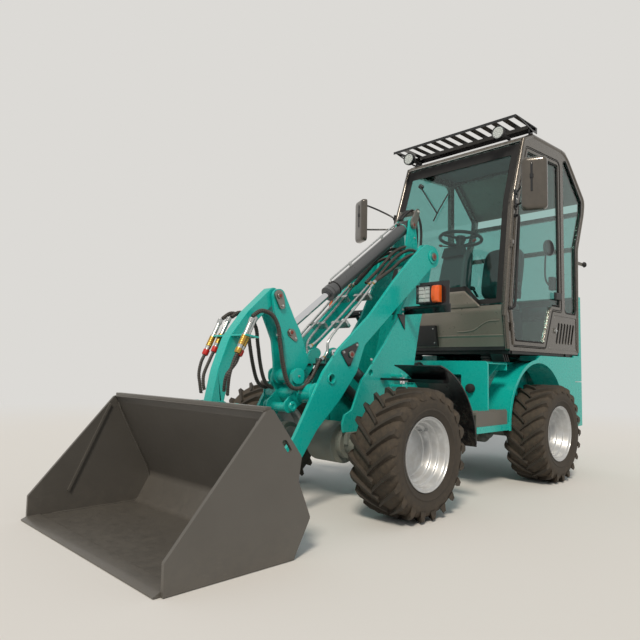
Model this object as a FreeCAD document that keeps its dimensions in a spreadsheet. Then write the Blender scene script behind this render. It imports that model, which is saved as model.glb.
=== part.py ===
import FreeCAD, Part
import math
import os
from FreeCAD import Placement, Rotation, Vector

# A compact articulated wheel loader, in millimetres.
# +X is forward, +Y is the driver's left, +Z is up.
# The origin is on the ground, in the middle of the whole length and width.

SIZES = {
    # Whole machine, measured from the front axle
    "lip_reach": 1754,
    "cab_rear_reach": 2950,
    "wheelbase": 1850,
    "pivot_back": 920,
    "axle_height": 395,
    # Wheels
    "tyre_diameter": 790,
    "tyre_width": 320,
    "wheel_centre_y": 657,
    "lug_height": 24,
    "lug_width": 46,
    "rim_radius": 211,
    "rim_width": 248,
    "rim_dish": 140,
    "hub_radius": 88,
    "spindle_radius": 40,
    "shaft_clearance": 0.4,
    "seat_gap": 0.3,
    "open_pin_gap": 1.5,
    # Axles
    "axle_tube_radius": 64,
    "axle_middle_radius": 138,
    "axle_middle_width": 240,
    # Front frame
    "tower_half_width": 200,
    "tower_plate": 20,
    "web_plate": 15,
    "hinge_pin_radius": 30,
    "hinge_boss_radius": 64,
    "hinge_lug": 36,
    "hinge_low": 440,
    "hinge_high": 752,
    # Loader arm
    "arm_half_width": 245,
    "arm_plate": 25,
    "arm_pivot_back": 840,
    "arm_pivot_up": 1775,
    "nose_ahead": 845,
    "nose_up": 147,
    "ram_pin_ahead": 96,
    "ram_pin_up": 988,
    "crank_pin_ahead": 440,
    "crank_pin_up": 842,
    "torque_tube_radius": 62,
    "torque_tube_ahead": 375,
    "torque_tube_up": 735,
    # Parallel tilt linkage
    "tilt_arm_ahead": 30,
    "tilt_arm_up": 275,
    "link_arm_ahead": 140,
    "link_arm_up": 498,
    "crank_half_width": 70,
    "crank_plate": 20,
    "link_half_width": 40,
    "link_width": 92,
    "link_bow": 112,
    "tilt_pin_radius": 22,
    "crank_pin_radius": 28,
    "crank_head_radius": 50,
    "pin_head": 16,
    "keeper_radius": 38,
    "keeper_tail_radius": 20,
    "nose_pin_radius": 24,
    "nose_sleeve_radius": 60,
    "tilt_clevis_outer": 72,
    "saddle_plate": 12,
    "saddle_radius": 20,
    "arm_pin_radius": 30,
    # Cylinders
    "tilt_barrel_radius": 48,
    "tilt_rod_radius": 25,
    "tilt_barrel_length": 1070,
    "lift_barrel_radius": 40,
    "lift_rod_radius": 22,
    "lift_barrel_length": 985,
    "lift_cylinder_y": 130,
    "lift_foot_back": 820,
    "lift_foot_up": 380,
    "ram_pin_radius": 24,
    "steer_barrel_radius": 32,
    "steer_rod_radius": 16,
    "steer_barrel_length": 560,
    "steer_pin_radius": 14,
    # Bucket
    "bucket_half_width": 774,
    "bucket_plate": 12,
    "bucket_side_plate": 20,
    "bucket_clearance": 3,
    "edge_thickness": 20,
    "hitch_half_width": 208,
    "hitch_plate": 20,
    # Rear frame
    "frame_half_width": 300,
    "frame_plate": 20,
    "deck_top": 970,
    "deck_half_width": 428,
    "frame_rear_back": 2600,
    "bulkhead_back": 1080,
    "bulkhead_half_width": 590,
    "arch_radius": 500,
    "panel_overlap": 10,
    "panel_plate": 16,
    "engine_bottom": 480,
    "tow_hole_back": 2900,
    "tow_hole_radius": 15,
    "tow_plate": 30,
    "step_top": 590,
    "fender_radius": 545,
    "fender_plate": 8,
    # Cab
    "cab_half_width": 610,
    "cab_side_plate": 40,
    "cab_bottom": 1060,
    "floor_bottom": 1090,
    "floor_plate": 30,
    "cab_skin": 25,
    "glass": 6,
    "mount_radius": 45,
    "door_gap": 6,
    "door_plate": 30,
    "knuckle_radius": 11,
    "knuckle_height": 34,
    "knuckle_pin_radius": 5,
    "leaf_gap": 5,
    "hood_wall": 16,
    "hood_bottom": 808,
    "hood_top": 1620,
    "hood_rear_back": 2850,
    "seat_width": 460,
    "visor_overhang": 20,
    "visor_top": 3020,
    "column_top_back": 1633.6,
    "column_top_up": 2051.2,
    "steering_wheel_radius": 185,
    "steering_grip_radius": 15,
}

doc = FreeCAD.newDocument("WheelLoader")
sheet = doc.addObject("Spreadsheet::Sheet", "Sizes")
for line, (alias, size) in enumerate(SIZES.items(), 1):
    sheet.set("A%d" % line, alias)
    sheet.set("B%d" % line, str(size))
    sheet.setAlias("B%d" % line, alias)
doc.recompute()
S = {alias: float(sheet.get(alias)) for alias in SIZES}

FRONT_AXLE_X = (S["cab_rear_reach"] - S["lip_reach"]) / 2
REAR_AXLE_X = FRONT_AXLE_X - S["wheelbase"]
HINGE_X = FRONT_AXLE_X - S["pivot_back"]
FLOOR_TOP = S["floor_bottom"] + S["floor_plate"]
Y_AXIS = Vector(0, 1, 0)
Z_AXIS = Vector(0, 0, 1)
nodes = []


def side_point(ahead, up, y=0):
    """A point given by its distance ahead of the front axle and above the ground."""
    return Vector(FRONT_AXLE_X + ahead, y, up)


def side_row(corners):
    """Corners (ahead of the front axle, up, optional radius) in the document's own x and z."""
    return [(FRONT_AXLE_X + corner[0],) + tuple(corner[1:]) for corner in corners]


LIFT_PIVOT = side_point(-S["arm_pivot_back"], S["arm_pivot_up"])
CRANK_PIVOT = side_point(S["crank_pin_ahead"], S["crank_pin_up"])
NOSE_PIN = side_point(S["nose_ahead"], S["nose_up"])
RAM_PIN = side_point(S["ram_pin_ahead"], S["ram_pin_up"])
LIFT_FOOT = side_point(-S["lift_foot_back"], S["lift_foot_up"])
TILT_ARM = Vector(S["tilt_arm_ahead"], 0, S["tilt_arm_up"])
LINK_ARM = Vector(S["link_arm_ahead"], 0, S["link_arm_up"])
TILT_ANCHOR = LIFT_PIVOT + TILT_ARM
TILT_EYE = CRANK_PIVOT + TILT_ARM
LINK_TOP = CRANK_PIVOT + LINK_ARM
LINK_FOOT = NOSE_PIN + LINK_ARM
STEER_ROD_EYE = side_point(-420, 815, 272)
STEER_BARREL_EYE = side_point(-S["bulkhead_back"] - 145, 815, 242)
DOOR_HINGE = side_point(-1380, 0, S["cab_half_width"] + S["knuckle_radius"] + S["leaf_gap"])
PANEL_OUTER_Y = S["cab_half_width"] + S["panel_overlap"]
HOOD_HINGE = side_point(-2606, 0, -(PANEL_OUTER_Y + S["knuckle_radius"] + S["leaf_gap"]))
HOOD_HINGE_HEIGHTS = (830, 960)

# Each door hinge: its height, then where its leaves stand on the post and on the door,
# ahead of the front axle, back end first
DOOR_HINGE_ROWS = (
    (1215, -1396, -1350, -1450, -1414),
    (1890, -1434, -1394, -1486, -1452),
)


def rounded(corners):
    """Lines and tangent arcs through a closed row of corners, each (u, v) or (u, v, radius).

    A radius that its two sides have no room for is made as large as they allow.
    """
    points = [Vector(corner[0], corner[1], 0) for corner in corners]
    radii = [corner[2] if len(corner) > 2 else 0 for corner in corners]
    count = len(points)
    runs = [points[(index + 1) % count] - points[index] for index in range(count)]
    halves = [(runs[index - 1] * -1).getAngle(runs[index]) / 2 for index in range(count)]
    reaches = [radius / math.tan(half) if radius else 0 for radius, half in zip(radii, halves)]
    turns = []
    for index, here in enumerate(points):
        if radii[index] == 0:
            turns.append((here, here, here))
            continue
        room = min(1, runs[index - 1].Length / (reaches[index - 1] + reaches[index]),
                   runs[index].Length / (reaches[index] + reaches[(index + 1) % count]))
        back = Vector(runs[index - 1]).normalize() * -1
        ahead = Vector(runs[index]).normalize()
        reach = reaches[index] * room
        rise = radii[index] * room * (1 / math.sin(halves[index]) - 1)
        turns.append((here + back * reach, here + (back + ahead).normalize() * rise, here + ahead * reach))
    edges = []
    for index, (entry, middle, leave) in enumerate(turns):
        if radii[index]:
            edges.append(Part.Arc(entry, middle, leave))
        following = turns[(index + 1) % count][0]
        if (following - leave).Length > 1e-4:
            edges.append(Part.LineSegment(leave, following))
    return edges


def bent(points, thickness, side=1):
    """The closed outline of a sheet of one thickness that follows points (u, v, optional radius)."""
    flat = [Vector(point[0], point[1], 0) for point in points]
    radii = [point[2] if len(point) > 2 else 0 for point in points]
    inner = []
    for index, here in enumerate(flat):
        normals = []
        for first, second in ((index - 1, index), (index, index + 1)):
            if 0 <= first and second < len(flat):
                run = (flat[second] - flat[first]).normalize()
                normals.append(Vector(-run.y, run.x, 0) * side)
        if len(normals) == 1:
            shift, bend = normals[0], 0
        else:
            total = normals[0] + normals[1]
            shift = total * (2 / (total.Length ** 2))
            bend = (flat[index + 1] - here).cross(here - flat[index - 1]).z
        moved = here + shift * thickness
        radius = radii[index]
        if radius:
            radius += thickness if bend * side > 0 else -thickness
        inner.append((moved.x, moved.y, max(radius, 0)))
    outer = [(point.x, point.y, radius) for point, radius in zip(flat, radii)]
    return outer + inner[::-1]


def plate(name, plane, corners, start, length, holes=()):
    """A plate of a closed outline, from start along the plane's normal; length is a size's name."""
    body = doc.addObject("PartDesign::Body", name)
    sketch = body.newObject("Sketcher::SketchObject", name + "_outline")
    origin = [item for item in body.Origin.OriginFeatures if item.Role == plane + "_Plane"][0]
    sketch.AttachmentSupport = [(origin, "")]
    sketch.MapMode = "FlatFace"
    thickness = S[length] if isinstance(length, str) else length
    offset = -(start + thickness) if plane == "XZ" else start
    sketch.AttachmentOffset = Placement(Vector(0, 0, offset), Rotation())
    for edge in rounded(corners):
        sketch.addGeometry(edge, False)
    for hole in holes:
        if len(hole) == 3 and not isinstance(hole[0], tuple):
            sketch.addGeometry(Part.Circle(Vector(hole[0], hole[1], 0), Z_AXIS, hole[2]), False)
        else:
            for edge in rounded(hole):
                sketch.addGeometry(edge, False)
    pad = body.newObject("PartDesign::Pad", name + "_pad")
    pad.Profile = sketch
    if isinstance(length, str):
        pad.setExpression("Length", "Sizes." + length)
    else:
        pad.Length = thickness
    sketch.Visibility = False
    return body


def keeper_outline(pin, tail_x, tail_z):
    """A drop-shaped plate round a pin, its small end tail_x ahead and tail_z above the pin."""
    tail = Vector(tail_x, 0, tail_z)
    along = Vector(tail).normalize()
    across = Vector(-along.z, 0, along.x)
    corners = []
    for centre, reach, sign in ((pin, S["keeper_radius"], -1), (pin + tail, S["keeper_tail_radius"], 1)):
        for side in (sign, -sign):
            point = centre + (along * sign + across * side) * reach
            corners.append((point.x, point.z, reach * 0.9))
    return corners


def pin_hole(point, radius_name):
    """A hole (x, z, radius) for a pin along Y."""
    return (point.x, point.z, S[radius_name] + S["shaft_clearance"])


def rod(name, start, end, radius):
    """A round bar between two points; radius is a size's name or a number."""
    bar = doc.addObject("Part::Cylinder", name)
    if isinstance(radius, str):
        bar.setExpression("Radius", "Sizes." + radius)
    else:
        bar.Radius = radius
    bar.Height = (end - start).Length
    bar.Placement = Placement(start, Rotation(Z_AXIS, end - start))
    return bar


def cross_rod(name, point, half_length, radius):
    """A round bar along Y, centred on a point."""
    reach = Vector(0, half_length, 0)
    return rod(name, point - reach, point + reach, radius)


def block(name, low, high):
    """A box between its lowest and highest corners."""
    solid = doc.addObject("Part::Box", name)
    solid.Length, solid.Width, solid.Height = high - low
    solid.Placement = Placement(low, Rotation())
    return solid


def stub_pins(name, point, inner, outer, radius, axis=Y_AXIS):
    """Two short pins in line along an axis, on both sides of an eye that floats between them."""
    return [rod("%s_%s" % (name, end), point + axis * (sign * inner), point + axis * (sign * outer), radius)
            for end, sign in (("near", 1), ("far", -1))]


def side_block(name, back, front, y_low, y_high, z_low, z_high):
    """A box whose ends are given as distances ahead of the front axle."""
    low = side_point(min(back, front), z_low, y_low)
    high = side_point(max(back, front), z_high, y_high)
    return block(name, low, high)


def fused(name, *pieces):
    joined = doc.addObject("Part::MultiFuse", name)
    joined.Shapes = list(pieces)
    joined.Refine = True
    return joined


def cut(name, base, *tools):
    result = doc.addObject("Part::Cut", name)
    result.Base = base
    result.Tool = tools[0] if len(tools) == 1 else fused(name + "_tools", *tools)
    result.Refine = True
    return result


def together(name, *pieces):
    """Several solids of one kind, kept as one piece of the assembly."""
    group = doc.addObject("Part::Compound", name)
    group.Links = list(pieces)
    return group


def mirrored(name, piece):
    """The right-hand copy of a left-hand piece."""
    copy = doc.addObject("Part::Mirroring", name)
    copy.Source = piece
    copy.Normal = Y_AXIS
    return copy


def pair(name, piece):
    return together(name, piece, mirrored(name + "_right", piece))


def hinge_leaf(name, axis, back, front, low, is_upper):
    """A leaf webbed to its panel from back to front (x, y), with its knuckle about a vertical axis.

    The lower leaf of a hinge carries the pin, and the upper one turns on it.
    """
    height = S["knuckle_height"]
    radius = S["knuckle_radius"]
    side = math.copysign(1, axis.y)
    base = low + S["seat_gap"] if is_upper else low
    tip = height - S["seat_gap"] if is_upper else height
    out = axis.y + side * radius * 0.6
    web = plate(name + "_web", "XY", [back, front, (axis.x, axis.y - side * radius * 0.8), (axis.x, out)],
                base, tip)
    foot = Vector(axis.x, axis.y, base)
    knuckle = rod(name + "_knuckle", foot, foot + Vector(0, 0, tip), "knuckle_radius")
    if is_upper:
        bore = rod(name + "_bore", foot - Vector(0, 0, 5), foot + Vector(0, 0, tip + 5),
                   S["knuckle_pin_radius"] + S["shaft_clearance"])
        return cut(name, fused(name + "_solid", web, knuckle), bore)
    pin = rod(name + "_pin", foot, foot + Vector(0, 0, 2 * height + 4), "knuckle_pin_radius")
    return fused(name, web, knuckle, pin)


def node(label, piece):
    """Registers a finished sub-part under the name of its file."""
    piece.Label = label
    nodes.append((label, piece))
    return piece


def shaped(name, shape):
    """A piece whose shape no single feature makes."""
    feature = doc.addObject("Part::Feature", name)
    feature.Shape = shape
    return feature


# Wheels

def faceted_ring(profile, centre, count, start=0.0):
    """A ring about a Y axis through centre, from a closed row of (radius, y), in flat facets."""
    faces = []
    angles = [math.radians(start + 360.0 * step / count) for step in range(count)]

    def corner(radius, y, angle):
        return centre + Vector(radius * math.sin(angle), y, radius * math.cos(angle))

    for step, angle in enumerate(angles):
        following = angles[(step + 1) % count]
        for row, (radius, y) in enumerate(profile):
            next_radius, next_y = profile[(row + 1) % len(profile)]
            if radius == 0 and next_radius == 0:
                continue
            ring = [corner(radius, y, angle), corner(next_radius, next_y, angle),
                    corner(next_radius, next_y, following), corner(radius, y, following)]
            if radius == 0:
                ring.pop()
            elif next_radius == 0:
                ring.pop(2)
            faces.append(Part.Face(Part.makePolygon(ring + ring[:1])))
    solid = Part.Solid(Part.Shell(faces))
    solid.fix(1e-4, 1e-4, 1e-3)
    if solid.Volume < 0:
        solid.reverse()
    return solid


def bar_solid(first, last):
    """A twisted bar between two four-cornered ends, in triangles."""
    faces = [Part.Face(Part.makePolygon(first + first[:1])), Part.Face(Part.makePolygon(last + last[:1]))]
    for index, corner in enumerate(first):
        after = (index + 1) % 4
        faces.append(Part.Face(Part.makePolygon([corner, first[after], last[after], corner])))
        faces.append(Part.Face(Part.makePolygon([corner, last[after], last[index], corner])))
    solid = Part.Solid(Part.Shell(faces))
    if solid.Volume < 0:
        solid.reverse()
    return solid


TREAD_RADIUS = S["tyre_diameter"] / 2 - S["lug_height"]
LUGS_A_SIDE = 18
TYRE_FACETS = 18
LUG_TRAIL = 20.0
BARREL_RADIUS = S["rim_radius"] * math.cos(math.pi / TYRE_FACETS) - S["seat_gap"]


def lug(side, lead):
    """One tread bar, from the middle of the tread to the shoulder, trailing outwards."""
    ends = []
    half_tyre = S["tyre_width"] / 2
    for y, angle, top in ((-8, lead, S["tyre_diameter"] / 2),
                          (half_tyre - 4, lead - LUG_TRAIL, TREAD_RADIUS - 2)):
        spread = math.degrees(S["lug_width"] / 2 / top)
        root = top - 2.2 * S["lug_height"]
        end = []
        for turn, radius in ((-1.15, root), (1.15, root), (0.9, top), (-0.9, top)):
            bearing = math.radians(angle + turn * spread)
            end.append(Vector(radius * math.sin(bearing), side * y, radius * math.cos(bearing)))
        ends.append(end)
    return bar_solid(*ends)


def tyre_shape():
    half = S["tyre_width"] / 2
    bead = S["rim_width"] / 2
    rim = S["rim_radius"]
    profile = [(rim, -bead), (rim + 60, -half), (TREAD_RADIUS - 46, -half), (TREAD_RADIUS, 52 - half),
               (TREAD_RADIUS, half - 52), (TREAD_RADIUS - 46, half), (rim + 60, half), (rim, bead)]
    carcass = faceted_ring(profile, Vector(), TYRE_FACETS)
    pitch = 360.0 / LUGS_A_SIDE
    lugs = [lug(1, step * pitch) for step in range(LUGS_A_SIDE)]
    lugs += [lug(-1, (step + 0.5) * pitch) for step in range(LUGS_A_SIDE)]
    return carcass.fuse(lugs).removeSplitter()


def make_rim(name, centre, side):
    """A dished rim, turned about the axle, with its hub on the inner side."""
    bead = S["rim_width"] / 2
    rim = S["rim_radius"]
    face = bead + 14 - S["rim_dish"]
    hub = S["hub_radius"]
    bore = S["spindle_radius"] + S["shaft_clearance"]
    hub_end = 505 - S["wheel_centre_y"]
    profile = [(face, 0), (face, rim - 26, 12), (bead + 14, rim - 8), (bead + 18, rim + 12),
               (bead + 11, rim + 12), (bead + 3, rim - 1), (bead, BARREL_RADIUS), (-bead, BARREL_RADIUS),
               (-bead - 3, rim - 1), (-bead - 11, rim + 12), (-bead - 18, rim + 12), (-bead - 14, rim - 8),
               (face - 12, rim - 16), (face - 12, hub), (hub_end, hub), (hub_end, bore),
               (face - 30, bore), (face - 30, 0)]
    body = doc.addObject("PartDesign::Body", name)
    sketch = body.newObject("Sketcher::SketchObject", name + "_profile")
    origin = [item for item in body.Origin.OriginFeatures if item.Role == "YZ_Plane"][0]
    sketch.AttachmentSupport = [(origin, "")]
    sketch.MapMode = "FlatFace"
    for edge in rounded([(side * corner[0],) + tuple(corner[1:]) for corner in profile]):
        sketch.addGeometry(edge, False)
    turned = body.newObject("PartDesign::Revolution", name + "_turned")
    turned.Profile = sketch
    turned.ReferenceAxis = (sketch, ["H_Axis"])
    turned.Angle = 360
    body.Placement = Placement(centre, Rotation())
    return body


def make_wheels():
    tyre = tyre_shape()
    mirror_plane = (Vector(), Y_AXIS)
    for where, x in (("front", FRONT_AXLE_X), ("rear", REAR_AXLE_X)):
        for side, sign in (("left", 1), ("right", -1)):
            centre = Vector(x, sign * S["wheel_centre_y"], S["axle_height"])
            name = "%s_%s" % (where, side)
            solid = shaped("tyre_" + name, tyre if sign > 0 else tyre.mirror(*mirror_plane))
            solid.Placement = Placement(centre, Rotation())
            node("tyre_" + name, solid)
            node("rim_" + name, make_rim("rim_" + name, centre, sign))


def make_axle(name, x, pad_inner, pad_outer, pad_top):
    centre = Vector(x, 0, S["axle_height"])
    half_middle = S["axle_middle_width"] / 2
    pieces = [
        cross_rod(name + "_tube", centre, 470, "axle_tube_radius"),
        cross_rod(name + "_middle", centre, half_middle, "axle_middle_radius"),
        cross_rod(name + "_neck", centre, half_middle + 45, 100),
        cross_rod(name + "_spindle", centre, 590, "spindle_radius"),
    ]
    for sign in (1, -1):
        ends = sorted((sign * pad_inner, sign * pad_outer))
        pieces.append(block("%s_pad_%d" % (name, sign + 1), Vector(x - 80, ends[0], S["axle_height"]),
                            Vector(x + 80, ends[1], pad_top)))
        inner = Vector(x, sign * 440, S["axle_height"])
        pieces.append(rod("%s_flange_%d" % (name, sign + 1), inner, inner + Vector(0, sign * 60, 0), 96))
    node(name, fused(name, *pieces))


# Front frame

TOWER_OUTLINE = [
    (-940, 1868, 70), (-745, 1868, 60), (-640, 1560), (-490, 1295, 60), (-318, 1074), (-136, 873, 40),
    (-75, 819), (18, 619, 30), (92, 589, 15), (110, 530, 15), (100, 475), (-120, 475, 20),
    (-150, 300, 20), (-880, 300, 40), (-880, 450, 40), (-700, 560, 60), (-666, 922, 200),
    (-740, 1237, 300), (-860, 1600, 200),
]


def make_front_frame():
    inner_y = S["tower_half_width"] - S["tower_plate"]
    tower = plate("tower_plate_left", "XZ", side_row(TOWER_OUTLINE), inner_y, "tower_plate",
                  [(FRONT_AXLE_X - 168, 868, 22)])
    pieces = [tower, mirrored("tower_plate_right", tower)]
    rear_line = [(-690, 744), (-666, 922, 200), (-740, 1237, 300), (-850, 1560)]
    pieces.append(plate("tower_back", "XZ", side_row(bent(rear_line, S["web_plate"], -1)),
                        -inner_y, 2 * inner_y))
    pieces.append(side_block("belly", -872, -150, -inner_y, inner_y, 302, 320))
    pieces.append(side_block("hinge_box", -S["pivot_back"] + S["hinge_boss_radius"] + 8, -672, -74, 74,
                             302, S["hinge_high"] + 30))
    pieces.append(side_block("hinge_brace", -690, -640, -inner_y, inner_y, 744, 782))
    hinge = Vector(HINGE_X, 0, 0)
    for name, low in (("lower", S["hinge_low"] - S["hinge_lug"]), ("upper", S["hinge_high"])):
        lift = Vector(0, 0, low)
        rise = Vector(0, 0, S["hinge_lug"])
        pieces.append(rod("hinge_boss_" + name, hinge + lift, hinge + lift + rise, "hinge_boss_radius"))
        pieces.append(side_block("hinge_tongue_" + name, -S["pivot_back"], -740, -60, 60,
                                 low, low + S["hinge_lug"]))
    pieces.append(rod("hinge_pin", hinge + Vector(0, 0, S["hinge_low"] - S["hinge_lug"] - 12),
                      hinge + Vector(0, 0, S["hinge_high"] + S["hinge_lug"] + 14), "hinge_pin_radius"))
    pieces.append(cross_rod("tower_tube", LIFT_PIVOT, inner_y, 58))
    pieces.append(cross_rod("arm_pin", LIFT_PIVOT, S["arm_half_width"] + 12, "arm_pin_radius"))
    pieces.append(cross_rod("lift_foot_pin", LIFT_FOOT, S["tower_half_width"], "ram_pin_radius"))
    clevis = plate("tilt_clevis_left", "XZ", side_row([
        (-890, 1790), (-715, 1790), (-735, 1880, 60), (-768, 2040, 40), (-772, 2100, 36), (-850, 2100, 32),
        (-872, 1960, 80)]), 54, S["tilt_clevis_outer"] - 54, [pin_hole(TILT_ANCHOR, "tilt_pin_radius")])
    pieces += [clevis, mirrored("tilt_clevis_right", clevis)]
    lug_z = STEER_ROD_EYE.z
    for name, low in (("low", lug_z - 45), ("high", lug_z + 27)):
        pieces.append(block("steer_ear_" + name, Vector(STEER_ROD_EYE.x - 30, S["tower_half_width"], low),
                            Vector(STEER_ROD_EYE.x + 30, STEER_ROD_EYE.y + 28, low + 18)))
    pieces += stub_pins("steer_front_pin", STEER_ROD_EYE, 24, 50, "steer_pin_radius", Z_AXIS)
    notch = side_block("steer_notch", -720, -585, inner_y - 15, S["tower_half_width"] + 5,
                       STEER_ROD_EYE.z - 32, STEER_ROD_EYE.z + 32)
    node("front_frame", cut("front_frame", fused("front_frame_solid", *pieces), notch))


def make_front_fenders():
    centre = Vector(FRONT_AXLE_X, 0, S["axle_height"])
    radius = S["fender_radius"]

    def strip(name, first, last, y_low, y_high):
        """A curved strip between two angles above the forward direction."""
        outer, inner = [], []
        for step in range(3):
            angle = math.radians(first + (last - first) * step / 2)
            direction = Vector(math.cos(angle), 0, math.sin(angle))
            outer.append(centre + direction * radius)
            inner.append(centre + direction * (radius - S["fender_plate"]))
        wire = Part.Wire([Part.Arc(*outer).toShape(), Part.makeLine(outer[2], inner[2]),
                          Part.Arc(*inner[::-1]).toShape(), Part.makeLine(inner[0], outer[0])])
        face = Part.Face(wire)
        face.translate(Vector(0, y_low, 0))
        return shaped(name, face.extrude(Vector(0, y_high - y_low, 0)))

    top = strip("fender_top", 103, 146, 440, 800)
    tail = strip("fender_tail", 146, 180, 520, 800)
    arm = side_block("fender_arm", -330, -270, S["tower_half_width"], 470, 818, 834)
    rib = side_block("fender_rib", -330, -270, 440, 720, 810, 834)
    left = fused("front_fender_left", top, tail, arm, rib)
    node("front_fenders", pair("front_fenders", left))


def make_lamps():
    bar = side_block("lamp_bar", -548, -540, S["tower_half_width"], 600, 1300, 1360)
    back = side_block("lamp_back", -548, -540, 340, 590, 1345, 1526)
    gusset = plate("lamp_gusset", "XZ", side_row([(-540, 1300), (-450, 1300), (-540, 1190)]),
                   S["tower_half_width"], 10)
    node("lamp_brackets", pair("lamp_brackets", fused("lamp_bracket_left", bar, back, gusset)))
    lens = plate("headlamp_left", "XZ", side_row([
        (-540, 1365), (-470, 1365, 14), (-455, 1400, 60), (-458, 1470, 60), (-475, 1498, 14), (-540, 1498)]),
        357, 105)
    node("headlamps", pair("headlamps", lens))
    amber = plate("indicator_left", "XZ", side_row([
        (-540, 1372), (-480, 1372, 12), (-470, 1430, 80), (-485, 1492, 12), (-540, 1492)]), 462, 72)
    node("indicator_lamps", pair("indicator_lamps", amber))


# Loader arm and tilt linkage

ARM_OUTLINE = [
    (-925, 1860, 80), (-760, 1862, 60), (-686, 1818, 60), (-536, 1693), (-370, 1538, 300), (-96, 1259, 300),
    (196, 1027, 120), (339, 872, 200), (580, 477, 80), (900, 196, 52), (892, 96, 50), (790, 96, 60),
    (507, 363, 60), (391, 514, 200), (188, 693, 120), (28, 873, 100), (-50, 1056, 60), (-833, 1690, 60),
    (-925, 1700, 80),
]

CRANK_EAR_OUTER = 108


def make_lift_arm():
    inner_y = S["arm_half_width"] - S["arm_plate"]
    holes = [pin_hole(LIFT_PIVOT, "arm_pin_radius"), pin_hole(NOSE_PIN, "nose_pin_radius"),
             (FRONT_AXLE_X + 270, 830, 26)]
    side = plate("arm_plate_left", "XZ", side_row(ARM_OUTLINE), inner_y, "arm_plate", holes)
    tube_centre = side_point(S["torque_tube_ahead"], S["torque_tube_up"])
    tube = cross_rod("torque_tube", tube_centre, inner_y + 10, "torque_tube_radius")
    ear_outline = side_row([(345, 700, 30), (396, 775), (396, 886, 44), (484, 886, 44), (484, 800, 40),
                            (430, 712, 30), (390, 690)])
    ear = plate("crank_ear_left", "XZ", ear_outline, 84, CRANK_EAR_OUTER - 84,
                [pin_hole(CRANK_PIVOT, "crank_pin_radius")])
    ram_ear = plate("ram_ear_left", "XZ", side_row([
        (40, 1000, 30), (80, 1040, 40), (150, 1020, 30), (330, 745, 20), (340, 690, 20), (300, 680, 20)]),
        76, 16)
    ram_eye = RAM_PIN + Vector(0, S["lift_cylinder_y"], 0)
    ram_pins = stub_pins("ram_pin_left", ram_eye, 38, 54, "ram_pin_radius")
    ram_head = rod("ram_pin_head", ram_eye + Vector(0, 54, 0),
                   RAM_PIN + Vector(0, S["arm_half_width"] + 10, 0), "ram_pin_radius")
    left = [side, ear, ram_ear, ram_head] + ram_pins
    right = [mirrored(piece.Name + "_mirror", piece) for piece in left]
    node("lift_arm", fused("lift_arm", tube, *left, *right))


def headed_pin(name, point, radius_name, inner, head_outline):
    """A cross pin with flat heads of an (x, z) outline against its ears' outer faces, at inner each side."""
    start = inner + S["seat_gap"]
    head = plate(name + "_head", "XZ", head_outline, start, "pin_head")
    pin = cross_rod(name + "_bar", point, start + S["pin_head"] / 2, radius_name)
    return fused(name, pin, head, mirrored(name + "_head_right", head))


def make_pins():
    shaft = cross_rod("nose_bar", NOSE_PIN, S["arm_half_width"] + 8, "nose_pin_radius")
    sleeve = cross_rod("nose_sleeve", NOSE_PIN, S["hitch_half_width"] - S["hitch_plate"] - S["seat_gap"],
                       "nose_sleeve_radius")
    node("nose_pins", fused("nose_pins", shaft, sleeve))
    reach = S["crank_head_radius"]
    round_head = [(CRANK_PIVOT.x + u * reach, CRANK_PIVOT.z + v * reach, reach * 0.8)
                  for u, v in ((1, 1), (-1, 1), (-1, -1), (1, -1))]
    node("crank_pin", headed_pin("crank_pin", CRANK_PIVOT, "crank_pin_radius", CRANK_EAR_OUTER, round_head))
    node("link_pin", headed_pin("link_pin", LINK_TOP, "tilt_pin_radius", S["crank_half_width"],
                                keeper_outline(LINK_TOP, -24, -60)))
    # The tilt pin carries a saddle for the cylinder's hoses, above and behind the barrel's eye.
    saddle_foot = TILT_ANCHOR + Vector(-70, 0, 120)
    wide = S["tilt_clevis_outer"] + S["seat_gap"]
    arm = plate("saddle_arm_left", "XZ", [
        (TILT_ANCHOR.x + 30, TILT_ANCHOR.z - 30, 28), (TILT_ANCHOR.x + 30, TILT_ANCHOR.z + 30, 28),
        (saddle_foot.x + 24, saddle_foot.z + 24, 22), (saddle_foot.x - 24, saddle_foot.z + 24, 22),
        (TILT_ANCHOR.x - 34, TILT_ANCHOR.z - 30, 28)], wide, "saddle_plate")
    reach = wide + S["saddle_plate"] / 2
    node("tilt_pin", fused("tilt_pin", cross_rod("tilt_pin_bar", TILT_ANCHOR, reach, "tilt_pin_radius"),
                           cross_rod("saddle_bar", saddle_foot, reach, "saddle_radius"),
                           arm, mirrored("saddle_arm_right", arm)))


def make_bell_crank():
    outline = side_row([
        (541, 1392, 45), (628, 1378, 45), (606, 1238, 60), (520, 1068, 80), (500, 930, 60), (494, 788, 54),
        (414, 788, 54), (300, 935, 40), (385, 1132, 120), (435, 1205, 120)])
    holes = [pin_hole(CRANK_PIVOT, "crank_pin_radius"), pin_hole(LINK_TOP, "tilt_pin_radius")]
    side = plate("crank_plate_left", "XZ", outline, S["crank_half_width"] - S["crank_plate"], "crank_plate",
                 holes)
    eye_pins = stub_pins("crank_eye_pin", TILT_EYE, 46, S["crank_half_width"] + 6, "tilt_pin_radius")
    sleeve_hole = cross_rod("crank_sleeve_bore", CRANK_PIVOT, 60,
                            S["crank_pin_radius"] + S["shaft_clearance"])
    sleeve = cut("crank_sleeve", cross_rod("crank_sleeve_tube", CRANK_PIVOT, 50, 44), sleeve_hole)
    node("bell_crank", fused("bell_crank", side, mirrored("crank_plate_right", side), sleeve, *eye_pins))


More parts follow.
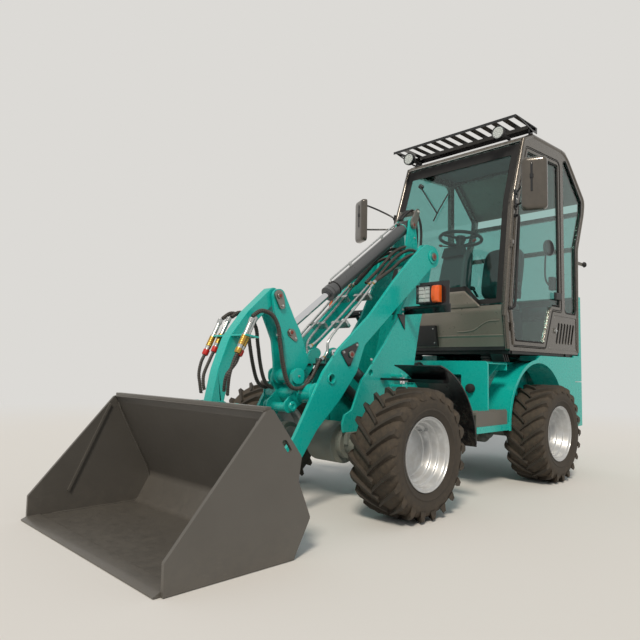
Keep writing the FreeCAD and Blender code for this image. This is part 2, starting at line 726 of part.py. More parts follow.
def make_link():
    """The curved link from the bell crank's top pin down to the hitch, bowed forward."""
    half = S["link_width"] / 2
    run = LINK_FOOT - LINK_TOP
    along = Vector(run).normalize()
    out = Vector(-along.z, 0, along.x)
    bow = S["link_bow"]
    stations = ((-0.06, 0.0, 41), (0.25, 0.72, 230), (0.5, 1.0, 230), (0.75, 0.72, 230), (1.06, 0.0, 41))
    front, back = [], []
    for share, lift, radius in stations:
        middle = LINK_TOP + run * share + out * (bow * lift)
        for row, shift in ((front, half), (back, -half)):
            point = middle + out * shift
            row.append((point.x, point.z, radius))
    outline = front + back[::-1]
    holes = [pin_hole(LINK_TOP, "tilt_pin_radius")]
    link = plate("link_plate", "XZ", outline, -S["link_half_width"], 2 * S["link_half_width"], holes)
    relief = cross_rod("link_foot_bore", LINK_FOOT, 60, S["tilt_pin_radius"] + S["open_pin_gap"])
    node("tilt_link", cut("tilt_link", link, relief))
    upper, lower = [LINK_TOP + run * share + out * (bow * lift + half) for share, lift, _ in stations[2:4]]
    seat = (upper + lower) / 2
    down = (lower - upper).normalize()
    off = Vector(-down.z, 0, down.x)
    corners = []
    for shift, height in ((-50, S["seat_gap"]), (-50, 43), (50, 43), (50, S["seat_gap"])):
        point = seat + down * shift + off * height
        corners.append((point.x, point.z))
    node("coupler_block", plate("coupler_block", "XZ", corners, -70, 140))


def make_tilt_cylinder():
    direction = (TILT_EYE - TILT_ANCHOR).normalize()
    eye = cross_rod("tilt_barrel_eye", TILT_ANCHOR, 46, 46)
    eye_bore = cross_rod("tilt_barrel_eye_bore", TILT_ANCHOR, 50,
                         S["tilt_pin_radius"] + S["shaft_clearance"])
    tube = rod("tilt_barrel_tube", TILT_ANCHOR + direction * 40,
               TILT_ANCHOR + direction * S["tilt_barrel_length"], "tilt_barrel_radius")
    gland = rod("tilt_gland", TILT_ANCHOR + direction * (S["tilt_barrel_length"] - 60),
                TILT_ANCHOR + direction * (S["tilt_barrel_length"] + 20), S["tilt_barrel_radius"] + 6)
    bore = rod("tilt_barrel_bore", TILT_ANCHOR + direction * 90,
               TILT_ANCHOR + direction * (S["tilt_barrel_length"] + 30),
               S["tilt_rod_radius"] + S["shaft_clearance"])
    node("tilt_barrel", cut("tilt_barrel", fused("tilt_barrel_solid", eye, tube, gland), eye_bore, bore))
    start = TILT_ANCHOR + direction * (S["tilt_barrel_length"] - 420)
    shank = rod("tilt_rod_shank", start, TILT_EYE - direction * 30, "tilt_rod_radius")
    rod_eye = cross_rod("tilt_rod_ring", TILT_EYE, 44, 42)
    rod_bore = cross_rod("tilt_rod_bore", TILT_EYE, 50, S["tilt_pin_radius"] + S["open_pin_gap"])
    node("tilt_rod", cut("tilt_rod", fused("tilt_rod_solid", shank, rod_eye), rod_bore))


def make_lift_cylinders():
    direction = (RAM_PIN - LIFT_FOOT).normalize()
    centre_y = Vector(0, S["lift_cylinder_y"], 0)
    foot = LIFT_FOOT + centre_y
    top = RAM_PIN + centre_y
    eye = cross_rod("lift_barrel_eye", foot, 38, 42)
    eye_bore = cross_rod("lift_barrel_eye_bore", foot, 45, S["ram_pin_radius"] + S["shaft_clearance"])
    reach = min(S["lift_barrel_length"], (top - foot).Length - 60)
    tube = rod("lift_barrel_tube", foot + direction * 36, foot + direction * reach, "lift_barrel_radius")
    bore = rod("lift_barrel_bore", foot + direction * 60, foot + direction * (reach + 10),
               S["lift_rod_radius"] + S["shaft_clearance"])
    barrel = cut("lift_barrel_left", fused("lift_barrel_solid", eye, tube), eye_bore, bore)
    node("lift_barrels", pair("lift_barrels", barrel))
    shank = rod("lift_rod_shank", foot + direction * 66, top - direction * 30, "lift_rod_radius")
    ring = cross_rod("lift_rod_ring", top, 36, 40)
    ring_bore = cross_rod("lift_rod_bore", top, 45, S["ram_pin_radius"] + S["open_pin_gap"])
    left = cut("lift_rod_left", fused("lift_rod_solid", shank, ring), ring_bore)
    node("lift_rods", pair("lift_rods", left))


def make_steer_cylinder():
    direction = (STEER_ROD_EYE - STEER_BARREL_EYE).normalize()
    rear = STEER_BARREL_EYE
    up = Vector(0, 0, 22)
    eye = rod("steer_barrel_eye", rear - up, rear + up, 28)
    eye_bore = rod("steer_barrel_eye_bore", rear - up * 2, rear + up * 2,
                   S["steer_pin_radius"] + S["shaft_clearance"])
    neck = rod("steer_barrel_neck", rear + direction * 20, rear + direction * 50, 20)
    tube = rod("steer_barrel_tube", rear + direction * 42, rear + direction * S["steer_barrel_length"],
               "steer_barrel_radius")
    bore = rod("steer_barrel_bore", rear + direction * 60,
               rear + direction * (S["steer_barrel_length"] + 10),
               S["steer_rod_radius"] + S["shaft_clearance"])
    node("steer_barrel", cut("steer_barrel", fused("steer_barrel_solid", eye, neck, tube), eye_bore, bore))
    shank = rod("steer_rod_shank", rear + direction * 242, STEER_ROD_EYE - direction * 20,
                "steer_rod_radius")
    ring = rod("steer_rod_ring", STEER_ROD_EYE - up, STEER_ROD_EYE + up, 26)
    ring_bore = rod("steer_rod_bore", STEER_ROD_EYE - up * 2, STEER_ROD_EYE + up * 2,
                    S["steer_pin_radius"] + S["open_pin_gap"])
    node("steer_rod", cut("steer_rod", fused("steer_rod_solid", shank, ring), ring_bore))


# Bucket and hitch

BUCKET_BACK = [(1650, 0), (1045, 0, 60), (942, 178, 60), (1190, 656, 30), (1205, 700)]


def make_bucket():
    lift = S["bucket_clearance"]
    half = S["bucket_half_width"]
    side = [(1045, 0), (1722, 0), (1722, 131, 12), (1232, 690, 12), (1190, 702, 10), (1005, 471, 20),
            (1023, 360, 20), (942, 178, 20)]
    side = [(u, v + lift) + tuple(rest) for u, v, *rest in side]
    slot = [(1062, 500, 10), (1096, 500, 10), (1140, 560, 10), (1106, 560, 10)]
    left = plate("bucket_side_left", "XZ", side_row(side), half - S["bucket_side_plate"],
                 "bucket_side_plate", [side_row(slot)])
    back = [(u, v + lift) + tuple(rest) for u, v, *rest in BUCKET_BACK]
    shell = plate("bucket_shell", "XZ", side_row(bent(back, S["bucket_plate"], -1)),
                  -(half - S["bucket_side_plate"]), 2 * (half - S["bucket_side_plate"]))
    lip = [(1186, 690), (1222, 690), (1222, 712), (1186, 712)]
    top_lip = plate("bucket_top_lip", "XZ", side_row([(u, v + lift) for u, v in lip]),
                    -(half - S["bucket_side_plate"]), 2 * (half - S["bucket_side_plate"]))
    ribs = []
    for row in range(-3, 4):
        y = row * 215
        ribs.append(plate("bucket_rib_%d" % (row + 4), "XZ", side_row([
            (1150, 590 + lift), (1178, 660 + lift), (1198, 690 + lift), (1170, 690 + lift)]), y - 6, 12))
    hanger = plate("bucket_hanger_left", "XZ", side_row([
        (1019, 321), (1184, 640), (1180, 672, 12), (1112, 676, 20), (985, 430, 40)]),
        S["hitch_half_width"] + S["seat_gap"], 12)
    node("bucket", fused("bucket", left, mirrored("bucket_side_right", left), shell, top_lip, *ribs,
                         hanger, mirrored("bucket_hanger_right", hanger)))
    edge = [(1650, 0), (S["lip_reach"], 0), (S["lip_reach"], 6), (1722, S["edge_thickness"]),
            (1650, S["edge_thickness"])]
    node("bucket_edge", plate("bucket_edge", "XZ", side_row([(u, v + lift) for u, v in edge]),
                              -(half - S["bucket_side_plate"]), 2 * (half - S["bucket_side_plate"])))


def make_hitch():
    """The coupler between the arm's nose and the bucket, leaning with the bucket's back."""
    outline = side_row([
        (795, 100, 40), (890, 92, 40), (925, 180, 20), (1135, 600), (1128, 690, 40), (935, 695, 45),
        (930, 600, 60), (800, 215, 60)])
    inner_y = S["hitch_half_width"] - S["hitch_plate"]
    side = plate("hitch_plate_left", "XZ", outline, inner_y, "hitch_plate",
                 [pin_hole(NOSE_PIN, "nose_pin_radius")])
    ear = plate("hitch_ear_left", "XZ", side_row([
        (930, 600, 30), (935, 700, 45), (1040, 700, 30), (1128, 640, 20), (1135, 600), (1080, 490)]), 50, 18)
    beam = plate("hitch_beam", "XZ", side_row([(1020, 440), (1052, 440), (1136, 602), (1104, 602)]),
                 -inner_y, 2 * inner_y)
    foot_pin = cross_rod("hitch_link_pin", LINK_FOOT, 76, "tilt_pin_radius")
    hooks = side_block("hitch_hook", 1090, 1150, inner_y, S["hitch_half_width"], 640, 690)
    pieces = [side, ear, hooks]
    copies = [mirrored(piece.Name + "_mirror", piece) for piece in pieces]
    node("hitch", fused("hitch", beam, foot_pin, *pieces, *copies))


# Rear frame and body

def make_rear_frame():
    outer = S["frame_half_width"]
    inner = outer - S["frame_plate"]
    back = -S["frame_rear_back"]
    front = -S["bulkhead_back"]
    deck = S["deck_top"]
    side = plate("frame_side_left", "XZ", side_row([
        (front, 430), (front, deck - 20), (back, deck - 20), (back, 430, 30), (-2010, 430, 30),
        (-1960, 475, 20), (-1740, 475, 20), (-1690, 430, 30)]), inner, "frame_plate")
    wide = S["bulkhead_half_width"]
    step = S["step_top"]
    bulkhead = plate("bulkhead", "YZ", [
        (-380, 430), (380, 430), (380, step), (wide, step), (wide, deck, 30), (-wide, deck, 30),
        (-wide, step), (-380, step)], FRONT_AXLE_X + front, 20)
    top = side_block("deck", back, front, -S["deck_half_width"], S["deck_half_width"], deck - 20, deck)
    tail = side_block("frame_tail", back, back + 20, -inner, inner, 430, deck - 20)
    pieces = [side, mirrored("frame_side_right", side), bulkhead, top, tail]
    for ahead in (-2150, -2530):
        pieces.append(side_block("engine_beam_%d" % -ahead, ahead - 25, ahead + 25, -inner, inner,
                                 430, S["engine_bottom"] - S["seat_gap"]))
    hinge = Vector(HINGE_X, 0, 0)
    gap = S["shaft_clearance"]
    lug_low = S["hinge_low"] + gap
    lug_high = S["hinge_high"] - gap - S["hinge_lug"]
    for name, low in (("low", lug_low), ("high", lug_high)):
        tongue = plate("rear_lug_" + name, "XY", [
            (HINGE_X + S["hinge_boss_radius"], -62, 61), (HINGE_X + S["hinge_boss_radius"], 62, 61),
            (HINGE_X - 60, 90), (FRONT_AXLE_X + front, 150), (FRONT_AXLE_X + front, -150),
            (HINGE_X - 60, -90)], low, "hinge_lug", [(HINGE_X, 0, S["hinge_pin_radius"] + gap)])
        pieces.append(tongue)
    ears = []
    for name, low in (("low", -44), ("high", 26)):
        ears.append(block("steer_rear_ear_" + name, STEER_BARREL_EYE + Vector(-30, -30, low),
                          Vector(STEER_BARREL_EYE.x + 16, inner + 5, STEER_BARREL_EYE.z + low + 18)))
    half_pin = Vector(0, 0, 50)
    ears.append(rod("steer_rear_pin", STEER_BARREL_EYE - half_pin, STEER_BARREL_EYE + half_pin,
                    "steer_pin_radius"))
    slot = block("steer_slot", Vector(STEER_BARREL_EYE.x + 12, 145, STEER_BARREL_EYE.z - 48),
                 Vector(FRONT_AXLE_X + front + 25, 362, STEER_BARREL_EYE.z + 48))
    slotted = cut("rear_frame_slotted", fused("rear_frame_solid", *pieces), slot)
    node("rear_frame", fused("rear_frame", slotted, *ears))


def make_rear_body():
    engine = side_block("engine", -2560, -2080, -240, 240, S["engine_bottom"], 930)
    node("engine", engine)
    half = S["cab_half_width"]
    rear = FRONT_AXLE_X - S["hood_rear_back"]
    front = FRONT_AXLE_X - S["frame_rear_back"]
    weight = plate("counterweight", "XY", [
        (front, -half), (front, half), (rear, half, 70), (rear, -half, 70)], 390, 412)
    tow_hole = (side_point(-S["tow_hole_back"], 0).x, 0, S["tow_hole_radius"])
    tongue_end = tow_hole[0] - 38
    tongue = plate("tow_tongue", "XY", [(rear + 20, -80), (rear + 20, 80), (tongue_end, 38, 37),
                                        (tongue_end, -38, 37)], 450, "tow_plate", [tow_hole])
    node("counterweight", fused("counterweight_solid", weight, tongue))
    panel_y = PANEL_OUTER_Y - S["panel_plate"]
    arch_centre = Vector(FRONT_AXLE_X - 1870, 0, 467)
    panel_end = -S["frame_rear_back"] + S["seat_gap"]
    panel = plate("side_panel_plate", "XZ", side_row([
        (-1332, 430), (-1332, 1030, 30), (panel_end, 1030), (panel_end, 400)]), panel_y, "panel_plate")
    opening = rod("arch_opening", arch_centre + Vector(0, panel_y - 5, 0), arch_centre + Vector(0, 640, 0),
                  "arch_radius")
    cut_panel = cut("side_panel_cut", panel, opening)
    y_in = S["deck_half_width"] + 2
    outer = rod("arch_outer", arch_centre + Vector(0, y_in, 0), arch_centre + Vector(0, panel_y, 0),
                S["arch_radius"] + 6)
    inner = rod("arch_inner", arch_centre + Vector(0, y_in - 1, 0), arch_centre + Vector(0, panel_y + 1, 0),
                "arch_radius")
    below = side_block("arch_below", -2400, -1300, y_in - 1, panel_y + 1, -100, 440)
    liner = cut("arch_liner", outer, inner, below)
    left = fused("side_panel_left", cut_panel, liner)
    right = mirrored("side_panel_right", left)
    panel_edge = side_point(panel_end, 0).x
    leaves = [hinge_leaf("panel_leaf_%d" % low, HOOD_HINGE, (panel_edge + 60, -PANEL_OUTER_Y),
                         (panel_edge, -PANEL_OUTER_Y), low, False) for low in HOOD_HINGE_HEIGHTS]
    node("side_panels", together("side_panels", left, fused("hinged_panel", right, *leaves)))
    tread = side_block("step_tread", -1330, -870, 382, 606, S["step_top"] - 20, S["step_top"])
    skirt = side_block("step_skirt", -1330, -870, 598, 606, 440, S["step_top"])
    web = side_block("step_web", -1330, -1080, 382, 398, 440, S["step_top"])
    node("steps", pair("steps", fused("step_left", tread, skirt, web)))
    mounts = []
    for ahead in (-1475, -2500):
        for y in (360, -360):
            foot = side_point(ahead, S["deck_top"], y)
            top = Vector(foot.x, foot.y, S["floor_bottom"])
            mounts.append(rod("cab_mount_%d" % len(mounts), foot, top, "mount_radius"))
    node("cab_mounts", together("cab_mounts", *mounts))


def make_hood():
    half = S["cab_half_width"]
    wall = S["hood_wall"]
    rear = FRONT_AXLE_X - S["hood_rear_back"]
    low_front = FRONT_AXLE_X - S["frame_rear_back"] - 12
    high_front = FRONT_AXLE_X - 2740
    bottom = S["hood_bottom"]

    def shell(name, front, z_low, z_high):
        inside = half - wall
        outline = [(front, -half), (front, -inside), (rear + wall, -inside, 54), (rear + wall, inside, 54),
                   (front, inside), (front, half), (rear, half, 70), (rear, -half, 70)]
        return plate(name, "XY", outline, z_low, z_high - z_low)

    lower = shell("hood_lower", low_front, bottom, S["cab_bottom"] - 10)
    upper = shell("hood_upper", high_front, S["cab_bottom"] - 10, S["hood_top"] - wall)
    lid = plate("hood_lid", "XY", [(high_front, -half), (high_front, half), (rear, half, 70),
                                   (rear, -half, 70)], S["hood_top"] - wall, "hood_wall")
    slots = []
    for row in range(6):
        low = 1120 + row * 70
        slots.append(block("hood_slot_%d" % row, Vector(rear - 5, -280, low),
                           Vector(rear + wall + 5, 280, low + 30)))
    leaves = [hinge_leaf("hood_leaf_%d" % low, HOOD_HINGE, (low_front - 60, -half), (low_front, -half),
                         low + S["knuckle_height"], True) for low in HOOD_HINGE_HEIGHTS]
    node("hood", cut("hood", fused("hood_solid", lower, upper, lid, *leaves), *slots))


# Cab

ROOF_LINE = [(-1640, 2876), (-1800, 2954, 80), (-2500, 2987, 110), (-2950, 2600)]
UNDER_ROOF = bent(ROOF_LINE, S["cab_skin"])[:3:-1]
CAB_SIDE = [
    (-1372, 1060, 20), (-1312, 1380, 60), (-1444, 2290, 700), *UNDER_ROOF,
    (-2905, 2440, 50), (-2746, 2070, 90), (-2722, 1060, 20),
]
DOOR_OPENING = [
    (-1428, 1090, 20), (-1372, 1400, 60), (-1497, 2290, 600), (-1688, 2822, 50), (-2370, 2862, 60),
    (-2370, 1432, 30), (-2164, 1432, 20), (-2012, 1090, 20),
]
QUARTER_OPENING = [
    (-2432, 1432, 40), (-2432, 2875, 30), (-2502, 2905, 30), (-2870, 2575, 50), (-2858, 2460, 40),
    (-2696, 2085, 80), (-2684, 1432, 40),
]
VENT_OPENING = [(-2062, 1092, 15), (-2204, 1402, 15), (-2684, 1402, 15), (-2684, 1092, 15)]


def inset(corners, amount):
    """A closed outline moved inwards by an amount all round, its corner radii reduced to suit."""
    points = [Vector(corner[0], corner[1], 0) for corner in corners]
    area = sum(points[i - 1].cross(points[i]).z for i in range(len(points)))
    side = 1 if area > 0 else -1
    result = []
    for index, here in enumerate(points):
        before = (here - points[index - 1]).normalize()
        after = (points[(index + 1) % len(points)] - here).normalize()
        total = Vector(-before.y, before.x, 0) + Vector(-after.y, after.x, 0)
        moved = here + total * (2 * side * amount / (total.Length ** 2))
        turn = before.cross(after).z * side
        radius = corners[index][2] if len(corners[index]) > 2 else 0
        if radius:
            radius = max(radius - amount if turn > 0 else radius + amount, 1)
        result.append((moved.x, moved.y, radius))
    return result


def make_cab_frame():
    outer = S["cab_half_width"]
    inner = outer - S["cab_side_plate"]
    side = plate("cab_side_left", "XZ", side_row(CAB_SIDE), inner, "cab_side_plate",
                 [side_row(DOOR_OPENING), side_row(QUARTER_OPENING), side_row(VENT_OPENING)])
    rails = []
    for name, back, front, low, high in (
            ("front_bottom", -1424, -1384, 1062, 1090), ("windscreen_top", -1700, -1655, 2800, 2848),
            ("roof_rear", -2500, -2455, 2905, 2950), ("rear_bulge", -2905, -2870, 2445, 2490),
            ("rear_belt", -2746, -2715, 2060, 2105), ("rear_sill", -2728, -2700, 1400, 1445),
            ("rear_bottom", -2720, -2690, 1062, 1090)):
        rails.append(side_block("cab_rail_" + name, back, front, -inner, inner, low, high))
    leaves = [hinge_leaf("post_leaf_%d" % low, DOOR_HINGE, (FRONT_AXLE_X + post_back, outer),
                         (FRONT_AXLE_X + post_front, outer), low, False)
              for low, post_back, post_front, _, _ in DOOR_HINGE_ROWS]
    node("cab_frame", fused("cab_frame", side, mirrored("cab_side_right", side), *rails, *leaves))
    node("cab_roof", plate("cab_roof", "XZ", side_row(bent(ROOF_LINE, S["cab_skin"])), -outer, 2 * outer))
    nose = bent([(-1376, 1092), (-1316, 1380, 60), (-1326, 1425)], S["cab_skin"], 1)
    between = inner - S["seat_gap"]
    node("cab_nose", plate("cab_nose", "XZ", side_row(nose), -between, 2 * between))
    node("cab_floor", side_block("cab_floor", -2700, -1402, -inner, inner,
                                 S["floor_bottom"], FLOOR_TOP))
    rear = side_block("cab_rear_panel", -2722, -2704, -between, between, S["floor_bottom"] + 0.5, 1400)
    node("cab_rear_panel", rear)
    vent = plate("vent_panel_left", "XZ", side_row(inset(VENT_OPENING, 0.3)), outer - 26, 22)
    slots = [side_block("vent_slot_%d" % row, -2640 + row * 52, -2622 + row * 52,
                        outer - 30, outer + 5, 1150, 1350)
             for row in range(7)]
    node("vent_panels", pair("vent_panels", cut("vent_panel", vent, *slots)))


def make_glass():
    between = S["cab_half_width"] - S["cab_side_plate"] - S["seat_gap"]
    outer = S["cab_half_width"]
    screen = bent([(-1328, 1430), (-1454, 2290, 700), (-1648, 2846)], S["glass"], 1)
    windscreen = plate("windscreen", "XZ", side_row(screen), -between, 2 * between)
    rear = bent([(-2730, 1446), (-2744, 2059)], S["glass"], -1)
    rear_glass = plate("rear_glass", "XZ", side_row(rear), -between, 2 * between)
    upper = bent([(-2752, 2106), (-2890, 2442)], S["glass"], -1)
    upper_glass = plate("rear_upper_glass", "XZ", side_row(upper), -between, 2 * between)
    quarter = plate("quarter_glass_left", "XZ", side_row(inset(QUARTER_OPENING, 0.3)), outer - 20, "glass")
    right = plate("right_glass", "XZ", side_row(inset(DOOR_OPENING, 0.3)), -(outer - 14), "glass")
    node("cab_glass", together("cab_glass", windscreen, rear_glass, upper_glass, quarter,
                               mirrored("quarter_glass_right", quarter), right))


def make_door():
    outer = S["cab_half_width"]
    shape = inset(DOOR_OPENING, S["door_gap"])
    window = inset(DOOR_OPENING, S["door_gap"] + 42)
    frame = plate("door_frame_plate", "XZ", side_row(shape), outer - S["door_plate"], "door_plate",
                  [side_row(window)])
    handle = side_block("door_handle", -2330, -2210, outer, outer + 14, 1560, 1590)
    leaves = [hinge_leaf("door_leaf_%d" % low, DOOR_HINGE, (FRONT_AXLE_X + door_back, outer),
                         (FRONT_AXLE_X + door_front, outer), low + S["knuckle_height"], True)
              for low, _, _, door_back, door_front in DOOR_HINGE_ROWS]
    node("door_frame", fused("door_frame", frame, handle, *leaves))
    node("door_glass", plate("door_glass", "XZ", side_row(inset(window, 0.3)), outer - 18, "glass"))


def make_cab_fittings():
    outer = S["cab_half_width"]
    over_roof = outer + S["visor_overhang"]
    visor = []
    for row in range(10):
        back = -1480 - row * 38
        visor.append(plate("visor_slat_%d" % row, "XZ", side_row([
            (back, 3008), (back + 24, 3012), (back + 24, 3018), (back, 3014)]), -over_roof, 2 * over_roof))
    for sign in (-1, 0, 1):
        middle = sign * (over_roof + 2)
        visor.append(side_block("visor_rail_%d" % (sign + 1), -1850, -1454, middle - 8, middle + 8,
                                2996, S["visor_top"]))
    for sign in (-1, 1):
        middle = sign * (outer - 50)
        visor.append(side_block("visor_leg_%d" % (sign + 1), -1840, -1790, middle - 8, middle + 8,
                                2956.5, 3014))
    node("visor", fused("visor", *visor))
    lamps = []
    slope = side_point(*ROOF_LINE[3][:2]) - side_point(*ROOF_LINE[2][:2])
    above = Vector(slope.z, 0, -slope.x).normalize()
    on_roof = side_point(*ROOF_LINE[2][:2]) + slope * 0.55
    for x, y, z in ((-1500, 466, 2910), (None, 466, None)):
        if x is None:
            foot = on_roof + Vector(0, y, 0)
            centre = foot + above * 70 + Vector(-10, 0, 0)
            stem = rod("work_lamp_stem_rear", foot + above * 0.3, foot + above * 80, 10)
        else:
            centre = side_point(x, z, y)
            run = ROOF_LINE[1][0] - ROOF_LINE[0][0], ROOF_LINE[1][1] - ROOF_LINE[0][1]
            reach = ROOF_LINE[0][0] + (z - 14 - S["seat_gap"] - ROOF_LINE[0][1]) * run[0] / run[1]
            stem = side_block("work_lamp_stem_front", reach, x, y - 12, y + 12, z - 14, z + 14)
        head = rod("work_lamp_head_%d" % len(lamps), centre - Vector(35, 0, 0), centre + Vector(35, 0, 0), 58)
        lamps.append(fused("work_lamp_%d" % len(lamps), head, stem))
    copies = [mirrored(lamp.Name + "_right", lamp) for lamp in lamps]
    node("work_lamps", together("work_lamps", *lamps, *copies))
    arm = rod("mirror_arm_top", side_point(-1475, 2360, outer + 12), side_point(-1250, 2460, 880), 9)
    arm_low = rod("mirror_arm_low", side_point(-1470, 2240, outer + 12), side_point(-1250, 2400, 880), 9)
    foot = side_block("mirror_foot", -1490, -1455, outer, outer + 20, 2215, 2385)
    head = side_block("mirror_head", -1275, -1225, 830, 980, 2120, 2540)
    node("mirrors", pair("mirrors", fused("mirror_left", arm, arm_low, foot, head)))
    node("seat_base", side_block("seat_base", -2400, -2020, -210, 210, FLOOR_TOP, 1470))
    cushion = plate("seat_cushion", "XZ", side_row([
        (-2450, 1470, 20), (-1950, 1470, 30), (-1950, 1560, 45), (-2330, 1560, 60), (-2400, 2160, 42),
        (-2500, 2160, 42)]), -S["seat_width"] / 2, "seat_width")
    node("seat", cushion)
    top = side_point(-S["column_top_back"], S["column_top_up"])
    base = side_point(-1480, FLOOR_TOP)
    column = rod("steering_column_tube", base + (top - base) * 0.1, top, 34)
    cowl = rod("steering_cowl", base, Vector(base.x, 0, 1500), 82)
    node("steering_column", fused("steering_column", column, cowl))
    node("console", side_block("console", -2420, -1980, 180 - outer, 310 - outer, FLOOR_TOP, 1620))
    ring = doc.addObject("Part::Torus", "steering_ring")
    ring.setExpression("Radius1", "Sizes.steering_wheel_radius")
    ring.setExpression("Radius2", "Sizes.steering_grip_radius")
    along = (top - base).normalize()
    turn = Rotation(Z_AXIS, along)
    centre = top + along * 40
    ring.Placement = Placement(centre, turn)
    hub = rod("steering_hub", top + along * S["seat_gap"], centre + along * 14, 38)
    spokes = []
    for step in range(3):
        out = turn.multVec(Rotation(Z_AXIS, 90 + 120 * step).multVec(Vector(1, 0, 0)))
        spokes.append(rod("steering_spoke_%d" % step, centre, centre + out * S["steering_wheel_radius"], 11))
    node("steering_wheel", fused("steering_wheel", ring, hub, *spokes))


make_wheels()
make_axle("front_axle", FRONT_AXLE_X, 178, 212, 475)
make_axle("rear_axle", REAR_AXLE_X, 278, 312, 475)
make_front_frame()
make_front_fenders()
make_lamps()
make_lift_arm()
make_pins()
make_bell_crank()
make_link()
make_tilt_cylinder()
make_lift_cylinders()
make_steer_cylinder()
make_bucket()
make_hitch()
make_rear_frame()
make_rear_body()
make_hood()
make_cab_frame()
make_glass()
make_door()
make_cab_fittings()

doc.recompute()
for item in doc.Objects:
    if "Invalid" in item.State or "Error" in item.State:
        raise RuntimeError("%s failed: %s" % (item.Name, item.State))
for label, piece in nodes:
    if piece.Shape.isNull() or not piece.Shape.isValid() or not piece.Shape.Solids:
        raise RuntimeError("%s has no valid shape" % label)
os.makedirs("parts", exist_ok=True)
for label, piece in nodes:
    piece.Shape.exportStep("parts/%s.step" % label)
print(len(nodes), "nodes written")
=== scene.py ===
import math
import bmesh
import bpy
from mathutils import Matrix, Vector
from mathutils.geometry import tessellate_polygon


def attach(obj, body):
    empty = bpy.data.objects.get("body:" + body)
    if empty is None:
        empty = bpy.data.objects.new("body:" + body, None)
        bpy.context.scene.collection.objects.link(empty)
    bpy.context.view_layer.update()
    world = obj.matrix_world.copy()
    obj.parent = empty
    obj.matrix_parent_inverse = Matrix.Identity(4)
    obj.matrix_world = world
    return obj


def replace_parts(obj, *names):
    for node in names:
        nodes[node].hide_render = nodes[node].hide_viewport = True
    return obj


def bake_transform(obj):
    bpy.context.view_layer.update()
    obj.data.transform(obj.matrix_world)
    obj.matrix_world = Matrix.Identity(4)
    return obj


# A compact articulated wheel loader. +X is forward, +Y the driver's left, +Z up, in metres.

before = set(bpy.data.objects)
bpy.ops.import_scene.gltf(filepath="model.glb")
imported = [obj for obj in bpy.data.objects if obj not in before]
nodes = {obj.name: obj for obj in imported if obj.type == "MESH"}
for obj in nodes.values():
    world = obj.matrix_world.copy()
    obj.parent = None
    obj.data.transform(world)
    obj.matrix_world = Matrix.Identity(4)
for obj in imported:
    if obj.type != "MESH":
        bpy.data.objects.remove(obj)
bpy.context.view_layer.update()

FRONT_AXLE_X = 0.598
REAR_AXLE_X = -1.252
WHEEL_Y = 0.657
AXLE_Z = 0.395
LIFT_PIVOT = Vector((-0.242, 0, 1.775))
TILT_ANCHOR = Vector((-0.212, 0, 2.050))
TILT_EYE = Vector((1.068, 0, 1.117))
LINK_TOP = Vector((1.178, 0, 1.340))
LINK_FOOT = Vector((1.583, 0, 0.645))
NOSE_PIN = Vector((1.443, 0, 0.147))
RAM_PIN = Vector((0.694, 0, 0.988))
SIDES = (("left", 1), ("right", -1))
X_AXIS, Y_AXIS, Z_AXIS = Vector((1, 0, 0)), Vector((0, 1, 0)), Vector((0, 0, 1))


def mm(size):
    """The scale of a texture whose grain has this size in millimetres."""
    return 1000.0 / size


def colour(hex_code):
    """An sRGB hex value as linear RGBA."""
    values = [int(hex_code[i:i + 2], 16) / 255 for i in (0, 2, 4)]
    return [v / 12.92 if v <= 0.04045 else ((v + 0.055) / 1.055) ** 2.4 for v in values] + [1.0]


def add(material, kind, inputs=None, **settings):
    """Adds one node. An input is a plain value, or a pair of a node and its output to link from."""
    tree = material.node_tree
    node = tree.nodes.new(kind)
    for name, value in settings.items():
        setattr(node, name, value)
    for name, value in (inputs or {}).items():
        if isinstance(value, tuple) and isinstance(value[0], bpy.types.Node):
            tree.links.new(value[0].outputs[value[1]], node.inputs[name])
        else:
            node.inputs[name].default_value = value
    return node


def finish_of(name, **constants):
    """A new material and its Principled shader, with constant values set on the shader itself."""
    material = bpy.data.materials.new(name)
    material.use_nodes = True
    shader = material.node_tree.nodes["Principled BSDF"]
    for socket, value in constants.items():
        shader.inputs[socket.replace("_", " ")].default_value = value
    return material, shader


def feed(material, node, output, shader, socket):
    material.node_tree.links.new(node.outputs[output], shader.inputs[socket])


COLOUR_A, COLOUR_B, COLOUR_OUT = 6, 7, 2  # the colour sockets of a Mix node
FROM_LOW, FROM_HIGH, TO_LOW, TO_HIGH = 1, 2, 3, 4  # the sockets of a Map Range node


